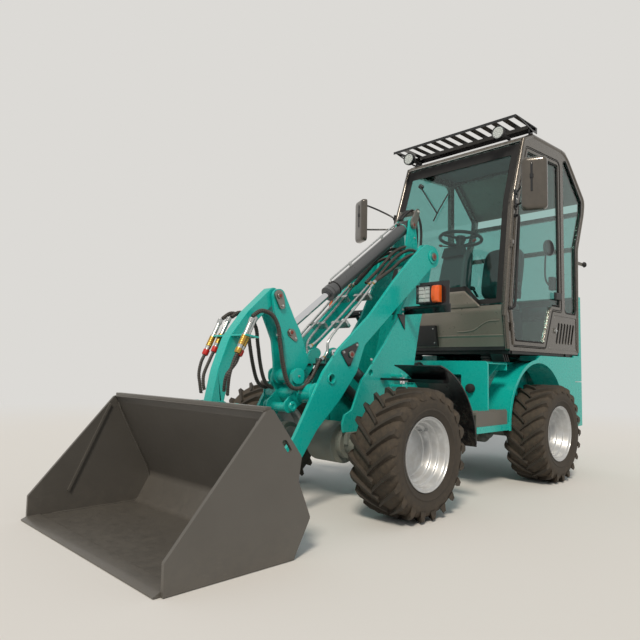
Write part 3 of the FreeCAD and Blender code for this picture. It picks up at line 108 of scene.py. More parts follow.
def sprayed(name, light, dark, roughness, peel=4.0, peel_depth=0.00012, metallic=0.0, flake=None,
            dust=0.0, dust_top=0.9, coat=0.0):
    """Sprayed enamel on steel: an even film with slight orange peel, and road dust low down."""
    material, shader = finish_of(name, Metallic=metallic, Coat_Weight=coat, Coat_Roughness=0.08)
    place = add(material, "ShaderNodeTexCoord")
    broad = add(material, "ShaderNodeTexNoise",
                {"Vector": (place, "Object"), "Scale": mm(260), "Detail": 3.0})
    film = add(material, "ShaderNodeMix",
               {0: (broad, "Fac"), COLOUR_A: colour(dark), COLOUR_B: colour(light)},
               data_type="RGBA")
    if flake:
        grain = add(material, "ShaderNodeTexNoise", {"Vector": (place, "Object"), "Scale": mm(flake),
                                                     "Detail": 2.0})
        sparkle = add(material, "ShaderNodeMapRange",
                      {"Value": (grain, "Fac"), FROM_LOW: 0.45, FROM_HIGH: 0.75, TO_LOW: 0.0,
                       TO_HIGH: 0.35})
        film = add(material, "ShaderNodeMix", {0: (sparkle, "Result"), COLOUR_A: (film, COLOUR_OUT),
                                               COLOUR_B: colour("B9B4AA")}, data_type="RGBA")
    parts = add(material, "ShaderNodeSeparateXYZ", {"Vector": (place, "Object")})
    height = add(material, "ShaderNodeMapRange",
                 {"Value": (parts, "Z"), FROM_LOW: dust_top, FROM_HIGH: 0.0, TO_LOW: 0.0, TO_HIGH: 1.0})
    patches = add(material, "ShaderNodeTexNoise",
                  {"Vector": (place, "Object"), "Scale": mm(45), "Detail": 6.0,
                   "Roughness": 0.65})
    spread = add(material, "ShaderNodeMapRange",
                 {"Value": (patches, "Fac"), FROM_LOW: 0.38, FROM_HIGH: 0.72, TO_LOW: 0.0, TO_HIGH: dust})
    mask = add(material, "ShaderNodeMath", {0: (height, "Result"), 1: (spread, "Result")},
               operation="MULTIPLY")
    dusted = add(material, "ShaderNodeMix", {0: (mask, "Value"), COLOUR_A: (film, COLOUR_OUT),
                                             COLOUR_B: colour("8C8272")}, data_type="RGBA")
    feed(material, dusted, COLOUR_OUT, shader, "Base Color")
    dull = add(material, "ShaderNodeMapRange", {"Value": (patches, "Fac"), FROM_LOW: 0.3, FROM_HIGH: 0.8,
                                                TO_LOW: roughness - 0.04, TO_HIGH: roughness + 0.08})
    matt = add(material, "ShaderNodeMath", {0: (mask, "Value"), 1: 0.5, 2: (dull, "Result")},
               operation="MULTIPLY_ADD")
    feed(material, matt, "Value", shader, "Roughness")
    skin = add(material, "ShaderNodeTexNoise",
               {"Vector": (place, "Object"), "Scale": mm(peel), "Detail": 1.0})
    bump = add(material, "ShaderNodeBump",
               {"Height": (skin, "Fac"), "Strength": 0.35, "Distance": peel_depth})
    feed(material, bump, "Normal", shader, "Normal")
    return material


# Machine enamel, sprayed and baked: a wet gloss that shows soft, slightly wavy reflections.
teal_enamel = sprayed("teal_enamel", "14B6AB", "10AAA0", 0.27, dust=0.22, dust_top=0.7, coat=0.15)
# Metallic cab paint: warm grey with fine aluminium flake under a clear coat.
cab_metallic = sprayed("cab_metallic", "827C72", "756F66", 0.3, metallic=0.35, flake=1.2, coat=0.5)
# Cab posts and frames: the same metallic in a darker bronze, with bright lines along the round tubes.
cab_bronze = sprayed("cab_bronze", "57514A", "4A453F", 0.26, metallic=0.65, flake=1.2, coat=0.5)
# Black enamel on tube and plate: a deep gloss that only shows its highlights.
black_enamel = sprayed("black_enamel", "15161A", "0E0F11", 0.22, dust=0.3, coat=0.3)
# Chassis black: the same enamel, sprayed thin on castings and brackets, half matt.
chassis_black = sprayed("chassis_black", "1E1F21", "161718", 0.45, peel=7, peel_depth=0.0003, dust=0.5)
# Grey cylinder paint: a smooth half-gloss film on drawn tube.
cylinder_grey = sprayed("cylinder_grey", "5A5C5E", "4C4E50", 0.3, metallic=0.35, coat=0.3)
# Axle paint over rough castings: pale grey-green, half matt.
cast_grey = sprayed("cast_grey", "7F857E", "6C716A", 0.5, peel=9, peel_depth=0.0006, dust=0.6)
# Silver wheel paint: aluminium flake in lacquer.
rim_silver = sprayed("rim_silver", "C4C7C9", "B4B7BA", 0.32, metallic=0.5, flake=1.0, dust=0.3,
                     dust_top=0.5,
                     coat=0.2)
# Step paint: warm grey on folded sheet, scuffed by boots.
step_grey = sprayed("step_grey", "6A6862", "5A5852", 0.5, peel=6, dust=0.6)


def scuffed_bucket():
    """Satin charcoal paint, rubbed by gravel: fine bright scratches on the floor and dust in the corners."""
    material = sprayed("bucket_charcoal", "615E59", "57544F", 0.38, peel=5, metallic=0.2, dust=0.12,
                       dust_top=0.3,
                       coat=0.1)
    shader = material.node_tree.nodes["Principled BSDF"]
    base = shader.inputs["Base Color"].links[0].from_node
    place = add(material, "ShaderNodeTexCoord")
    long_grain = add(material, "ShaderNodeMapping",
                     {"Vector": (place, "Object"), "Scale": (0.12, 1.0, 1.0)})
    scratch = add(material, "ShaderNodeTexNoise",
                  {"Vector": (long_grain, "Vector"), "Scale": mm(6), "Detail": 3.0,
                   "Roughness": 0.7})
    lines = add(material, "ShaderNodeMapRange",
                {"Value": (scratch, "Fac"), FROM_LOW: 0.60, FROM_HIGH: 0.72, TO_LOW: 0.0, TO_HIGH: 0.22})
    wide = add(material, "ShaderNodeTexNoise",
               {"Vector": (place, "Object"), "Scale": mm(180), "Detail": 4.0})
    where = add(material, "ShaderNodeMapRange",
                {"Value": (wide, "Fac"), FROM_LOW: 0.45, FROM_HIGH: 0.62, TO_LOW: 0.0, TO_HIGH: 1.0})
    parts = add(material, "ShaderNodeSeparateXYZ", {"Vector": (place, "Object")})
    low = add(material, "ShaderNodeMapRange",
              {"Value": (parts, "Z"), FROM_LOW: 0.2, FROM_HIGH: 0.02, TO_LOW: 0.15, TO_HIGH: 1.0})
    near = add(material, "ShaderNodeMath", {0: (where, "Result"), 1: (low, "Result")}, operation="MULTIPLY")
    mask = add(material, "ShaderNodeMath", {0: (near, "Value"), 1: (lines, "Result")}, operation="MULTIPLY")
    rubbed = add(material, "ShaderNodeMix", {0: (mask, "Value"), COLOUR_A: (base, COLOUR_OUT),
                                             COLOUR_B: colour("A39F98")}, data_type="RGBA")
    feed(material, rubbed, COLOUR_OUT, shader, "Base Color")
    return material


bucket_charcoal = scuffed_bucket()


def dusty_rubber():
    """Vulcanised tyre rubber: matt brown-black, with pale dust in the grooves and rubbed lug tops."""
    material, shader = finish_of("tyre_rubber", Specular_IOR_Level=0.3)
    place = add(material, "ShaderNodeTexCoord")
    flat = add(material, "ShaderNodeVectorMath", {0: (place, "Object"), 1: (1, 0, 1)}, operation="MULTIPLY")
    radius = add(material, "ShaderNodeVectorMath", {0: (flat, "Vector")}, operation="LENGTH")
    groove = add(material, "ShaderNodeMapRange",
                 {"Value": (radius, "Value"), FROM_LOW: 0.390, FROM_HIGH: 0.368, TO_LOW: 0.15,
                  TO_HIGH: 0.75})
    wall = add(material, "ShaderNodeMapRange",
               {"Value": (radius, "Value"), FROM_LOW: 0.35, FROM_HIGH: 0.26, TO_LOW: 1.0, TO_HIGH: 0.35})
    patches = add(material, "ShaderNodeTexNoise",
                  {"Vector": (place, "Object"), "Scale": mm(30), "Detail": 7.0,
                   "Roughness": 0.7})
    spread = add(material, "ShaderNodeMapRange",
                 {"Value": (patches, "Fac"), FROM_LOW: 0.3, FROM_HIGH: 0.75, TO_LOW: 0.1, TO_HIGH: 1.0})
    both = add(material, "ShaderNodeMath", {0: (groove, "Result"), 1: (wall, "Result")},
               operation="MULTIPLY")
    mask = add(material, "ShaderNodeMath", {0: (both, "Value"), 1: (spread, "Result")},
               operation="MULTIPLY")
    tinted = add(material, "ShaderNodeMix", {0: (mask, "Value"), COLOUR_A: colour("34302B"),
                                             COLOUR_B: colour("62574A")}, data_type="RGBA")
    feed(material, tinted, COLOUR_OUT, shader, "Base Color")
    dull = add(material, "ShaderNodeMapRange",
               {"Value": (mask, "Value"), FROM_LOW: 0.0, FROM_HIGH: 0.6, TO_LOW: 0.62, TO_HIGH: 0.9})
    feed(material, dull, "Result", shader, "Roughness")
    grain = add(material, "ShaderNodeTexNoise",
                {"Vector": (place, "Object"), "Scale": mm(2.5), "Detail": 4.0})
    bump = add(material, "ShaderNodeBump", {"Height": (grain, "Fac"), "Strength": 0.4, "Distance": 0.0006})
    feed(material, bump, "Normal", shader, "Normal")
    return material


tyre_rubber = dusty_rubber()


def bare_metal(name, light, dark, roughness, grain, stretch=(1, 1, 1), depth=0.00008):
    """Bare or plated metal whose grain, in millimetres, was left by turning, grinding or plating."""
    material, shader = finish_of(name, Metallic=1.0)
    place = add(material, "ShaderNodeTexCoord")
    along = add(material, "ShaderNodeMapping", {"Vector": (place, "Object"), "Scale": stretch})
    marks = add(material, "ShaderNodeTexNoise",
                {"Vector": (along, "Vector"), "Scale": mm(grain), "Detail": 4.0})
    tone = add(material, "ShaderNodeMix",
               {0: (marks, "Fac"), COLOUR_A: colour(dark), COLOUR_B: colour(light)},
               data_type="RGBA")
    feed(material, tone, COLOUR_OUT, shader, "Base Color")
    dull = add(material, "ShaderNodeMapRange", {"Value": (marks, "Fac"), FROM_LOW: 0.3, FROM_HIGH: 0.7,
                                                TO_LOW: roughness - 0.05, TO_HIGH: roughness + 0.08})
    feed(material, dull, "Result", shader, "Roughness")
    bump = add(material, "ShaderNodeBump", {"Height": (marks, "Fac"), "Strength": 0.3, "Distance": depth})
    feed(material, bump, "Normal", shader, "Normal")
    return material


# Hard chrome, ground: a mirror with the faintest grinding marks.
chrome_rod = bare_metal("chrome_rod", "E4E5E8", "D5D7DB", 0.08, 1.5, (1, 6, 1), 0.00002)
# Zinc-plated steel tube and bolts: bright with a cloudy bluish bloom.
zinc_steel = bare_metal("zinc_steel", "D2D4D3", "A9ACAD", 0.28, 14)
# Turned pin steel, oiled: brownish grey with fine turning marks.
turned_steel = bare_metal("turned_steel", "A09C96", "77736E", 0.34, 2.0, (1, 8, 1))
# Yellow-passivated zinc on the couplers' collars.
yellow_zinc = bare_metal("yellow_zinc", "CDA95C", "A8843E", 0.3, 10)
# Silvering behind lamp and mirror glass: a clean reflection.
lamp_silver = bare_metal("lamp_silver", "F0F1F2", "E2E4E6", 0.1, 8, depth=0.00003)


def moulded(name, light, dark, roughness, grain=1.2, depth=0.0003, **constants):
    """Moulded plastic or rubber: an even colour with the fine leather grain of its mould."""
    material, shader = finish_of(name, **constants)
    place = add(material, "ShaderNodeTexCoord")
    pores = add(material, "ShaderNodeTexVoronoi", {"Vector": (place, "Object"), "Scale": mm(grain)})
    broad = add(material, "ShaderNodeTexNoise",
                {"Vector": (place, "Object"), "Scale": mm(60), "Detail": 4.0})
    tone = add(material, "ShaderNodeMix",
               {0: (broad, "Fac"), COLOUR_A: colour(dark), COLOUR_B: colour(light)},
               data_type="RGBA")
    feed(material, tone, COLOUR_OUT, shader, "Base Color")
    dull = add(material, "ShaderNodeMapRange", {"Value": (broad, "Fac"), FROM_LOW: 0.3, FROM_HIGH: 0.7,
                                                TO_LOW: roughness - 0.05, TO_HIGH: roughness + 0.07})
    feed(material, dull, "Result", shader, "Roughness")
    bump = add(material, "ShaderNodeBump",
               {"Height": (pores, "Distance"), "Strength": 0.35, "Distance": depth})
    feed(material, bump, "Normal", shader, "Normal")
    return material


# Polypropylene housings: black, half matt, with mould grain.
black_plastic = moulded("black_plastic", "202124", "17181A", 0.42)
# ABS dashboard and console panels: mid grey with a coarse grain.
dash_grey = moulded("dash_grey", "4A4B4D", "3E3F41", 0.55, 2.0)
# Extruded rubber seals, bushes and mats: dead matt black.
black_rubber = moulded("black_rubber", "1B1B1C", "131314", 0.75, 3.0)
# Extruded hose cover: black rubber with a soft sheen.
hose_rubber = moulded("hose_rubber", "1D1D1F", "141415", 0.5, 1.0)
# Spiral guard round the hoses: nylon strip, grey-brown with dust.
guard_nylon = moulded("guard_nylon", "55504A", "413C37", 0.55, 2.0)
# Polyethylene pin caps: brick red, waxy.
cap_red = moulded("cap_red", "8E3A2B", "742C20", 0.4, 2.0)
# Mirror shells: black ABS, polished by its mould so it carries long reflections; its colour is lifted to a
# bronze-black as a painted reflection of the surroundings.
mirror_shell_painted_reflection = moulded("mirror_shell_painted_reflection", "5A544C", "4A453E", 0.16, 8.0, 0.0001, Coat_Weight=0.6,
                        Metallic=0.35)
# Signal-red PVC grips, dust caps and tail lamp lenses: a hard gloss.
signal_red = moulded("signal_red", "C8281E", "B01F17", 0.3, 3.0)
# PVC-coated seat cover: charcoal with leather grain and a dry sheen.
seat_vinyl = moulded("seat_vinyl", "2F3033", "26272A", 0.5, 1.6, 0.0004, Sheen_Weight=0.15)
# Acrylic turn lamp lens: deep amber that glows at its edges.
amber_lens = moulded("amber_lens", "EE6A1E", "D95512", 0.12, 6.0, 0.0004, Subsurface_Weight=0.2,
                     Coat_Weight=0.4)
# Polycarbonate lamp inserts: milky white, a little bumpy like moulded lens cells.
white_led = moulded("white_led", "F4F5F2", "E2E3DF", 0.25, 9.0, 0.001, Coat_Weight=0.5)


def pane(name, tint):
    """Toughened glass: clear, tinted by its iron, and a mirror that grows stronger at a glancing angle."""
    material = bpy.data.materials.new(name)
    material.use_nodes = True
    tree = material.node_tree
    tree.nodes.remove(tree.nodes["Principled BSDF"])
    place = add(material, "ShaderNodeTexCoord")
    ripple = add(material, "ShaderNodeTexNoise", {"Vector": (place, "Object"), "Scale": mm(400)})
    bump = add(material, "ShaderNodeBump", {"Height": (ripple, "Fac"), "Strength": 0.1, "Distance": 0.001})
    facing = add(material, "ShaderNodeLayerWeight", {"Blend": 0.5, "Normal": (bump, "Normal")})
    steep = add(material, "ShaderNodeMath", {0: (facing, "Facing"), 1: 5.0}, operation="POWER")
    share = add(material, "ShaderNodeMath", {0: (steep, "Value"), 1: 0.9, 2: 0.045},
                operation="MULTIPLY_ADD")
    clear = add(material, "ShaderNodeBsdfTransparent", {"Color": colour(tint)})
    gloss = add(material, "ShaderNodeBsdfAnisotropic", {"Color": colour("FFFFFF"), "Roughness": 0.02,
                                                        "Normal": (bump, "Normal")})
    both = add(material, "ShaderNodeMixShader",
               {0: (share, "Value"), 1: (clear, "BSDF"), 2: (gloss, "BSDF")})
    tree.links.new(both.outputs[0], tree.nodes["Material Output"].inputs["Surface"])
    return material


cab_glass = pane("cab_glass", "CFE8E6")
lamp_glass = pane("lamp_glass", "F2F4F4")


EDGE_STEPS = 2  # how many faces round an edge
WELD_GAP = 1e-6  # points this near become one


class Draft:
    """The points and faces of one piece, in the row frame, gathered form by form."""

    def __init__(self):
        self.points, self.faces = [], []

    def rows(self, rows, caps=True, wrap=False):
        """The skin through equal rings of points; wrap joins the last ring to the first."""
        base, count = len(self.points), len(rows[0])
        for row in rows:
            self.points += [Vector(point) for point in row]
        for step in range(len(rows) if wrap else len(rows) - 1):
            here, after = base + step * count, base + (step + 1) % len(rows) * count
            for i in range(count):
                j = (i + 1) % count
                self.faces.append((here + i, here + j, after + j, after + i))
        if caps and not wrap:
            self.faces.append(tuple(range(base + count - 1, base - 1, -1)))
            last = base + (len(rows) - 1) * count
            self.faces.append(tuple(range(last, last + count)))
        return self

    def box(self, low, high):
        (a, b, c), (d, e, f) = low, high
        return self.rows([[(a, b, z), (d, b, z), (d, e, z), (a, e, z)] for z in (c, f)])

    def slab(self, outline, low, high):
        """An outline of (x, z) from low to high along Y."""
        return self.rows([[(x, y, z) for x, z in outline] for y in (low, high)])

    def face_slab(self, outline, low, high):
        """An outline of (y, z) from low to high along X."""
        return self.rows([[(x, y, z) for y, z in outline] for x in (low, high)])

    def pierced(self, outline, holes, low, high, place):
        """A plate with holes; place makes a point of a corner's two measures and its depth."""
        loops = [outline] + holes
        corners = [corner for loop in loops for corner in loop]
        base, count = len(self.points), len(corners)
        for depth in (low, high):
            self.points += [Vector(place(a, b, depth)) for a, b in corners]
        for triangle in tessellate_polygon([[Vector((a, b, 0)) for a, b in loop] for loop in loops]):
            self.faces.append(tuple(base + i for i in triangle))
            self.faces.append(tuple(base + count + i for i in reversed(triangle)))
        start = base
        for loop in loops:
            for i in range(len(loop)):
                here, after = start + i, start + (i + 1) % len(loop)
                self.faces.append((here, after, after + count, here + count))
            start += len(loop)
        return self

    def turned(self, profile, foot, axis, count=32, wrap=False):
        """A row of (radius, distance along the axis), turned about the axis from foot."""
        foot, axis = Vector(foot), Vector(axis).normalized()
        side = axis.orthogonal().normalized()
        across = axis.cross(side)
        spokes = [side * math.cos(2 * math.pi * i / count) + across * math.sin(2 * math.pi * i / count)
                  for i in range(count)]
        rings = [[foot + axis * along + spoke * radius for spoke in spokes] for radius, along in profile]
        return self.rows(rings, caps=not wrap, wrap=wrap)

    def tube(self, path, radius, sides=12, ridge=0.0, pitch=2):
        """A round tube along a path; a ridge on every pitch-th station makes a guard's coils."""
        path = [Vector(point) for point in path]
        side = (path[1] - path[0]).orthogonal().normalized()
        rings = []
        for i, point in enumerate(path):
            along = (path[min(i + 1, len(path) - 1)] - path[max(i - 1, 0)]).normalized()
            side = (side - along * side.dot(along)).normalized()
            across = along.cross(side)
            reach = radius + (ridge if ridge and i % pitch == 0 else 0)
            rings.append([point + (side * math.cos(2 * math.pi * k / sides)
                                   + across * math.sin(2 * math.pi * k / sides)) * reach
                          for k in range(sides)])
        return self.rows(rings)

    def bolt(self, seat, axis, size=0.010):
        """A hexagon bolt head on a washer; size is the thread's diameter."""
        axis = Vector(axis).normalized()
        self.turned([(size * 1.05, 0), (size * 1.05, size * 0.18), (size * 0.9, size * 0.2)], seat, axis,
                    20)
        return self.turned([(size * 0.92, size * 0.2), (size * 0.92, size * 0.72),
                            (size * 0.78, size * 0.85)],
                           seat, axis, 6)

    def both_sides(self):
        """Adds the right-hand copy of everything so far."""
        base = len(self.points)
        self.points += [Vector((p.x, -p.y, p.z)) for p in self.points]
        self.faces += [tuple(base + i for i in reversed(face)) for face in list(self.faces)]
        return self

    def made(self, name, body, material, slot, bevel=0.0, sharp=35):
        """The finished piece, riding on its body if it has one; bevel rounds the edges over the sharp angle."""
        mesh = bpy.data.meshes.new(name)
        mesh.from_pydata(self.points, [], self.faces)
        work = bmesh.new()
        work.from_mesh(mesh)
        bmesh.ops.remove_doubles(work, verts=work.verts, dist=WELD_GAP)
        bmesh.ops.recalc_face_normals(work, faces=work.faces)
        work.to_mesh(mesh)
        work.free()
        mesh.shade_smooth()
        mesh.set_sharp_from_angle(angle=math.radians(sharp))
        mesh.materials.append(material)
        piece = bpy.data.objects.new(name, mesh)
        bpy.context.scene.collection.objects.link(piece)
        if bevel:
            edges = piece.modifiers.new("edges", "BEVEL")
            edges.width, edges.segments, edges.limit_method = bevel, EDGE_STEPS, "ANGLE"
            edges.angle_limit = math.radians(sharp)
            edges.use_clamp_overlap = True
            edges.harden_normals = True
        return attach(piece, body) if body else piece


def smooth_row(points, spacing=0.008):
    """Points at an even spacing along a smooth line through the given ones."""
    points = [Vector(point) for point in points]
    ends = [points[0] * 2 - points[1]] + points + [points[-1] * 2 - points[-2]]
    fine = []
    for i in range(1, len(ends) - 2):
        a, b, c, d = ends[i - 1:i + 3]
        for k in range(24):
            t = k / 24
            fine.append(0.5 * (b * 2 + (c - a) * t + (a * 2 - b * 5 + c * 4 - d) * t * t
                               + (b * 3 - a - c * 3 + d) * t ** 3))
    fine.append(points[-1])
    lengths = [0.0]
    for i in range(1, len(fine)):
        lengths.append(lengths[-1] + (fine[i] - fine[i - 1]).length)
    count = max(2, round(lengths[-1] / spacing))
    row, i = [], 1
    for k in range(count + 1):
        want = lengths[-1] * k / count
        while i < len(fine) - 1 and lengths[i] < want:
            i += 1
        share = (want - lengths[i - 1]) / max(lengths[i] - lengths[i - 1], 1e-9)
        row.append(fine[i - 1].lerp(fine[i], min(max(share, 0), 1)))
    return row


def smooth_by_angle():
    """A modifier's node group that shades a surface smooth but keeps edges over 38 degrees sharp."""
    group = bpy.data.node_groups.new("smooth_by_angle", "GeometryNodeTree")
    group.interface.new_socket("Geometry", in_out="INPUT", socket_type="NodeSocketGeometry")
    group.interface.new_socket("Geometry", in_out="OUTPUT", socket_type="NodeSocketGeometry")
    start, end = group.nodes.new("NodeGroupInput"), group.nodes.new("NodeGroupOutput")
    faces, edges = (group.nodes.new("GeometryNodeSetShadeSmooth") for _ in range(2))
    edges.domain = "EDGE"
    edges.inputs["Shade Smooth"].default_value = False
    angle = group.nodes.new("GeometryNodeInputMeshEdgeAngle")
    sharp = group.nodes.new("FunctionNodeCompare")
    sharp.operation = "GREATER_THAN"
    sharp.inputs[1].default_value = math.radians(38)
    link = group.links.new
    link(start.outputs[0], faces.inputs["Geometry"])
    link(faces.outputs[0], edges.inputs["Geometry"])
    link(angle.outputs["Unsigned Angle"], sharp.inputs[0])
    link(sharp.outputs["Result"], edges.inputs["Selection"])
    link(edges.outputs[0], end.inputs[0])
    return group


SMOOTH = smooth_by_angle()


def dress(name, material, bevel):
    """Gives a CAD node its finish, and its folded or ground edges their small radius."""
    piece = nodes[name]
    piece.data.materials.clear()
    piece.data.materials.append(material)
    weld = piece.modifiers.new("weld", "WELD")
    weld.merge_threshold = 1e-5
    if bevel and name != "cab_frame":  # its windows would close: a dissolved face has no holes
        flat = piece.modifiers.new("flat", "DECIMATE")
        flat.decimate_type, flat.angle_limit = "DISSOLVE", math.radians(0.6)
        edges = piece.modifiers.new("edges", "BEVEL")
        edges.width, edges.segments, edges.limit_method = bevel, EDGE_STEPS, "ANGLE"
        edges.angle_limit = math.radians(32)
        edges.use_clamp_overlap = False
        edges.loop_slide = True
    shade = piece.modifiers.new("shade", "NODES")
    shade.node_group = SMOOTH
    if bevel:
        normals = piece.modifiers.new("normals", "WEIGHTED_NORMAL")
        normals.keep_sharp = True


for names, material, bevel in (
        (("front_frame", "lift_arm", "bell_crank", "hitch", "rear_frame"), teal_enamel, 0.0025),
        (("tilt_link", "counterweight", "crank_pin"), teal_enamel, 0.004),
        (("hood",), teal_enamel, 0.002),
        (("cab_nose", "cab_rear_panel"), cab_metallic, 0.002),
        (("cab_roof",), cab_metallic, 0.006),
        (("steps",), step_grey, 0.002),
        (("bucket", "bucket_edge"), bucket_charcoal, 0.0015),
        (("front_fenders", "lamp_brackets"), black_enamel, 0.0015),
        (("cab_frame",), cab_bronze, 0.006),
        (("door_frame",), cab_bronze, 0.004),
        (("cab_floor", "coupler_block", "seat_base"), chassis_black, 0.002),
        (("steering_column", "steering_wheel"), black_plastic, 0.0),
        (("front_axle", "rear_axle", "engine"), cast_grey, 0.003),
        (("tilt_barrel", "lift_barrels", "steer_barrel"), cylinder_grey, 0.002),
        (("tilt_rod", "lift_rods", "steer_rod"), chrome_rod, 0.0015),
        (("nose_pins", "link_pin", "tilt_pin"), turned_steel, 0.0015),
        (("cab_glass", "door_glass"), cab_glass, 0.0),
        (("cab_mounts",), black_rubber, 0.0)):
    for name in names:
        dress(name, material, bevel)


# Wheels

LUGS_A_SIDE = 21
LUG_STATIONS = 9


def tyre_draft():
    """An agricultural tyre about its own centre: a moulded carcass and staggered curved bars."""
    draft = Draft()
    half = [(0.2075, 0.110), (0.2125, 0.126), (0.222, 0.134), (0.231, 0.139), (0.245, 0.147),
            (0.256, 0.152),
            (0.262, 0.1565), (0.268, 0.1565), (0.272, 0.1545), (0.295, 0.1585), (0.318, 0.1585),
            (0.336, 0.154),
            (0.350, 0.145), (0.360, 0.132), (0.367, 0.112), (0.3705, 0.080), (0.372, 0.040), (0.3725, 0.0)]
    profile = half + [(radius, -y) for radius, y in reversed(half[:-1])]
    draft.turned(profile, Vector(), Y_AXIS, 96, wrap=True)
    for side in (1, -1):
        for k in range(LUGS_A_SIDE):
            lead = (k + (0.5 if side < 0 else 0.0)) * 2 * math.pi / LUGS_A_SIDE
            rows = []
            for step in range(LUG_STATIONS):
                t = step / (LUG_STATIONS - 1)
                bend = lead - math.radians(23.0) * t ** 0.92
                y = -0.012 + 0.170 * min(t / 0.88, 1)
                top = 0.3945 - 0.0025 * t - max(0, t - 0.84) * 0.26
                root = 0.360 - max(0, t - 0.62) * 0.085
                top_half = 0.0085 + 0.0060 * t
                root_half = top_half + 0.0075
                out = 0.0025 if t > 0.86 else 0
                rows.append([
                    (radius * math.sin(bend + shift / radius), side * (y + out * (radius < 0.37)),
                     radius * math.cos(bend + shift / radius))
                    for radius,
                    shift in ((root, -root_half), (root, root_half), (top, top_half), (top, -top_half))])
            draft.rows(rows)
    return draft


def rim_draft():
    """A pressed disc wheel: rolled flanges, a stepped deep dish and a hub flange behind."""
    draft = Draft()
    front = [(0.0, 0.012), (0.030, 0.0118), (0.055, 0.010), (0.100, 0.004), (0.128, -0.001),
             (0.142, -0.002),
             (0.148, 0.002), (0.152, 0.012), (0.156, 0.034), (0.160, 0.040), (0.170, 0.044), (0.174, 0.050),
             (0.177, 0.076), (0.181, 0.082), (0.190, 0.086), (0.194, 0.092), (0.197, 0.118), (0.203, 0.128),
             (0.212, 0.132), (0.216, 0.136), (0.2185, 0.1415), (0.2225, 0.142), (0.2235, 0.138),
             (0.221, 0.130),
             (0.213, 0.124), (0.206, 0.118), (0.206, -0.118), (0.213, -0.124), (0.221, -0.130),
             (0.2235, -0.138),
             (0.2225, -0.142), (0.2185, -0.1415), (0.213, -0.132), (0.200, -0.122), (0.196, -0.06),
             (0.160, -0.030), (0.142, -0.016), (0.100, -0.013), (0.088, -0.020), (0.088, -0.150),
             (0.0, -0.150)]
    draft.turned([(max(radius, 1e-5), y) for radius, y in front], Vector(), Y_AXIS, 72)
    return draft


tyre_form, rim_form = tyre_draft(), rim_draft()
rim_form.slab([(-0.078, 0.124), (-0.128, 0.098), (-0.112, 0.142)], 0.002, 0.030)
rim_form.tube([(-0.098, 0.020, 0.118), (-0.104, 0.050, 0.124), (-0.106, 0.058, 0.128)], 0.005, 12)
for where, axle_x in (("front", FRONT_AXLE_X), ("rear", REAR_AXLE_X)):
    for side_name, sign in SIDES:
        label = "%s_%s" % (where, side_name)
        for form, material, slot, node, bevel in (
                (tyre_form, tyre_rubber, "tyre_rubber", "tyre_", 0.0016),
                (rim_form, rim_silver, "rim_silver", "rim_", 0.0)):
            wheel = Draft()
            turn = Matrix.Rotation(math.radians(100 if where == "rear" else 0), 3, "Y")
            wheel.points = [Vector((p.x, sign * p.y, p.z)) for p in (turn @ q for q in form.points)]
            wheel.faces = form.faces
            piece = wheel.made("wheel_" + node + label, None, material, slot, bevel, sharp=32)
            piece.location = Vector((axle_x, sign * WHEEL_Y, AXLE_Z))
            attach(piece, "wheel_" + label)
            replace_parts(piece, node + label)


# Small fittings are gathered by body and kind, and each kind becomes one piece.

FITTINGS = {
    "bolts": (zinc_steel, "pin_steel", 0.0004),
    "pin_ends": (turned_steel, "pin_steel", 0.0006),
    "caps": (cap_red, None, 0.001),
    "black_plates": (black_enamel, "black_paint", 0.0012),
    "teal_plates": (teal_enamel, "teal_paint", 0.0015),
    "pipes": (zinc_steel, "pin_steel", 0.0),
    "clamps": (zinc_steel, "pin_steel", 0.001),
    "collars": (yellow_zinc, None, 0.0004),
    "plastic": (black_plastic, "black_plastic", 0.0015),
    "seals": (black_rubber, "mount_rubber", 0.0),
    "pads": (black_rubber, "mount_rubber", 0.002),
    "welds": (bucket_charcoal, "bucket_grey", 0.0),
    "teal_welds": (teal_enamel, "teal_paint", 0.0),
    "grips": (signal_red, None, 0.001),
    "dark_metal": (chassis_black, "black_paint", 0.001),
    "folds": (cab_metallic, "cab_grey", 0.0008),
    "treads": (step_grey, "cab_grey", 0.0),
    "stop_bar": (step_grey, "cab_grey", 0.001),
    "mounts": (black_rubber, "mount_rubber", 0.001),
    "chrome": (zinc_steel, "pin_steel", 0.0),
    "tow_pin": (turned_steel, "pin_steel", 0.0006),
    "tail_red": (signal_red, None, 0.0),
    "tail_amber": (amber_lens, "amber_lens", 0.0),
}
gathered = {}


def on(body, kind, pair=False):
    """The draft that gathers one kind of fitting on one body; a pair is mirrored to the right at the end."""
    return gathered.setdefault((body, kind, pair), Draft())


def pin_end(body, x, z, y, radius, cap_radius):
    """A pin's turned end on both sides, its grease bore closed by a red cap."""
    on(body, "pin_ends", True).turned(
        [(radius, 0), (radius, 0.006), (radius - 0.002, 0.008), (cap_radius + 0.001, 0.008),
         (cap_radius + 0.001, 0.005), (1e-5, 0.005)], (x, y, z), Y_AXIS, 28)
    on(body, "caps", True).turned(
        [(cap_radius, 0.005), (cap_radius, 0.009), (cap_radius * 0.6, 0.0105), (1e-5, 0.011)], (x, y, z),
        Y_AXIS, 20)


def welded(body, kind, path, radius=0.004, pair=True):
    """A hand-laid weld bead: a fine row of overlapping ripples along a joint."""
    on(body, kind, pair).tube(smooth_row(path, 0.0035), radius, 8, ridge=radius * 0.18, pitch=2)


# Bolt heads on both sides: the body, the way they face, the thread and the seats

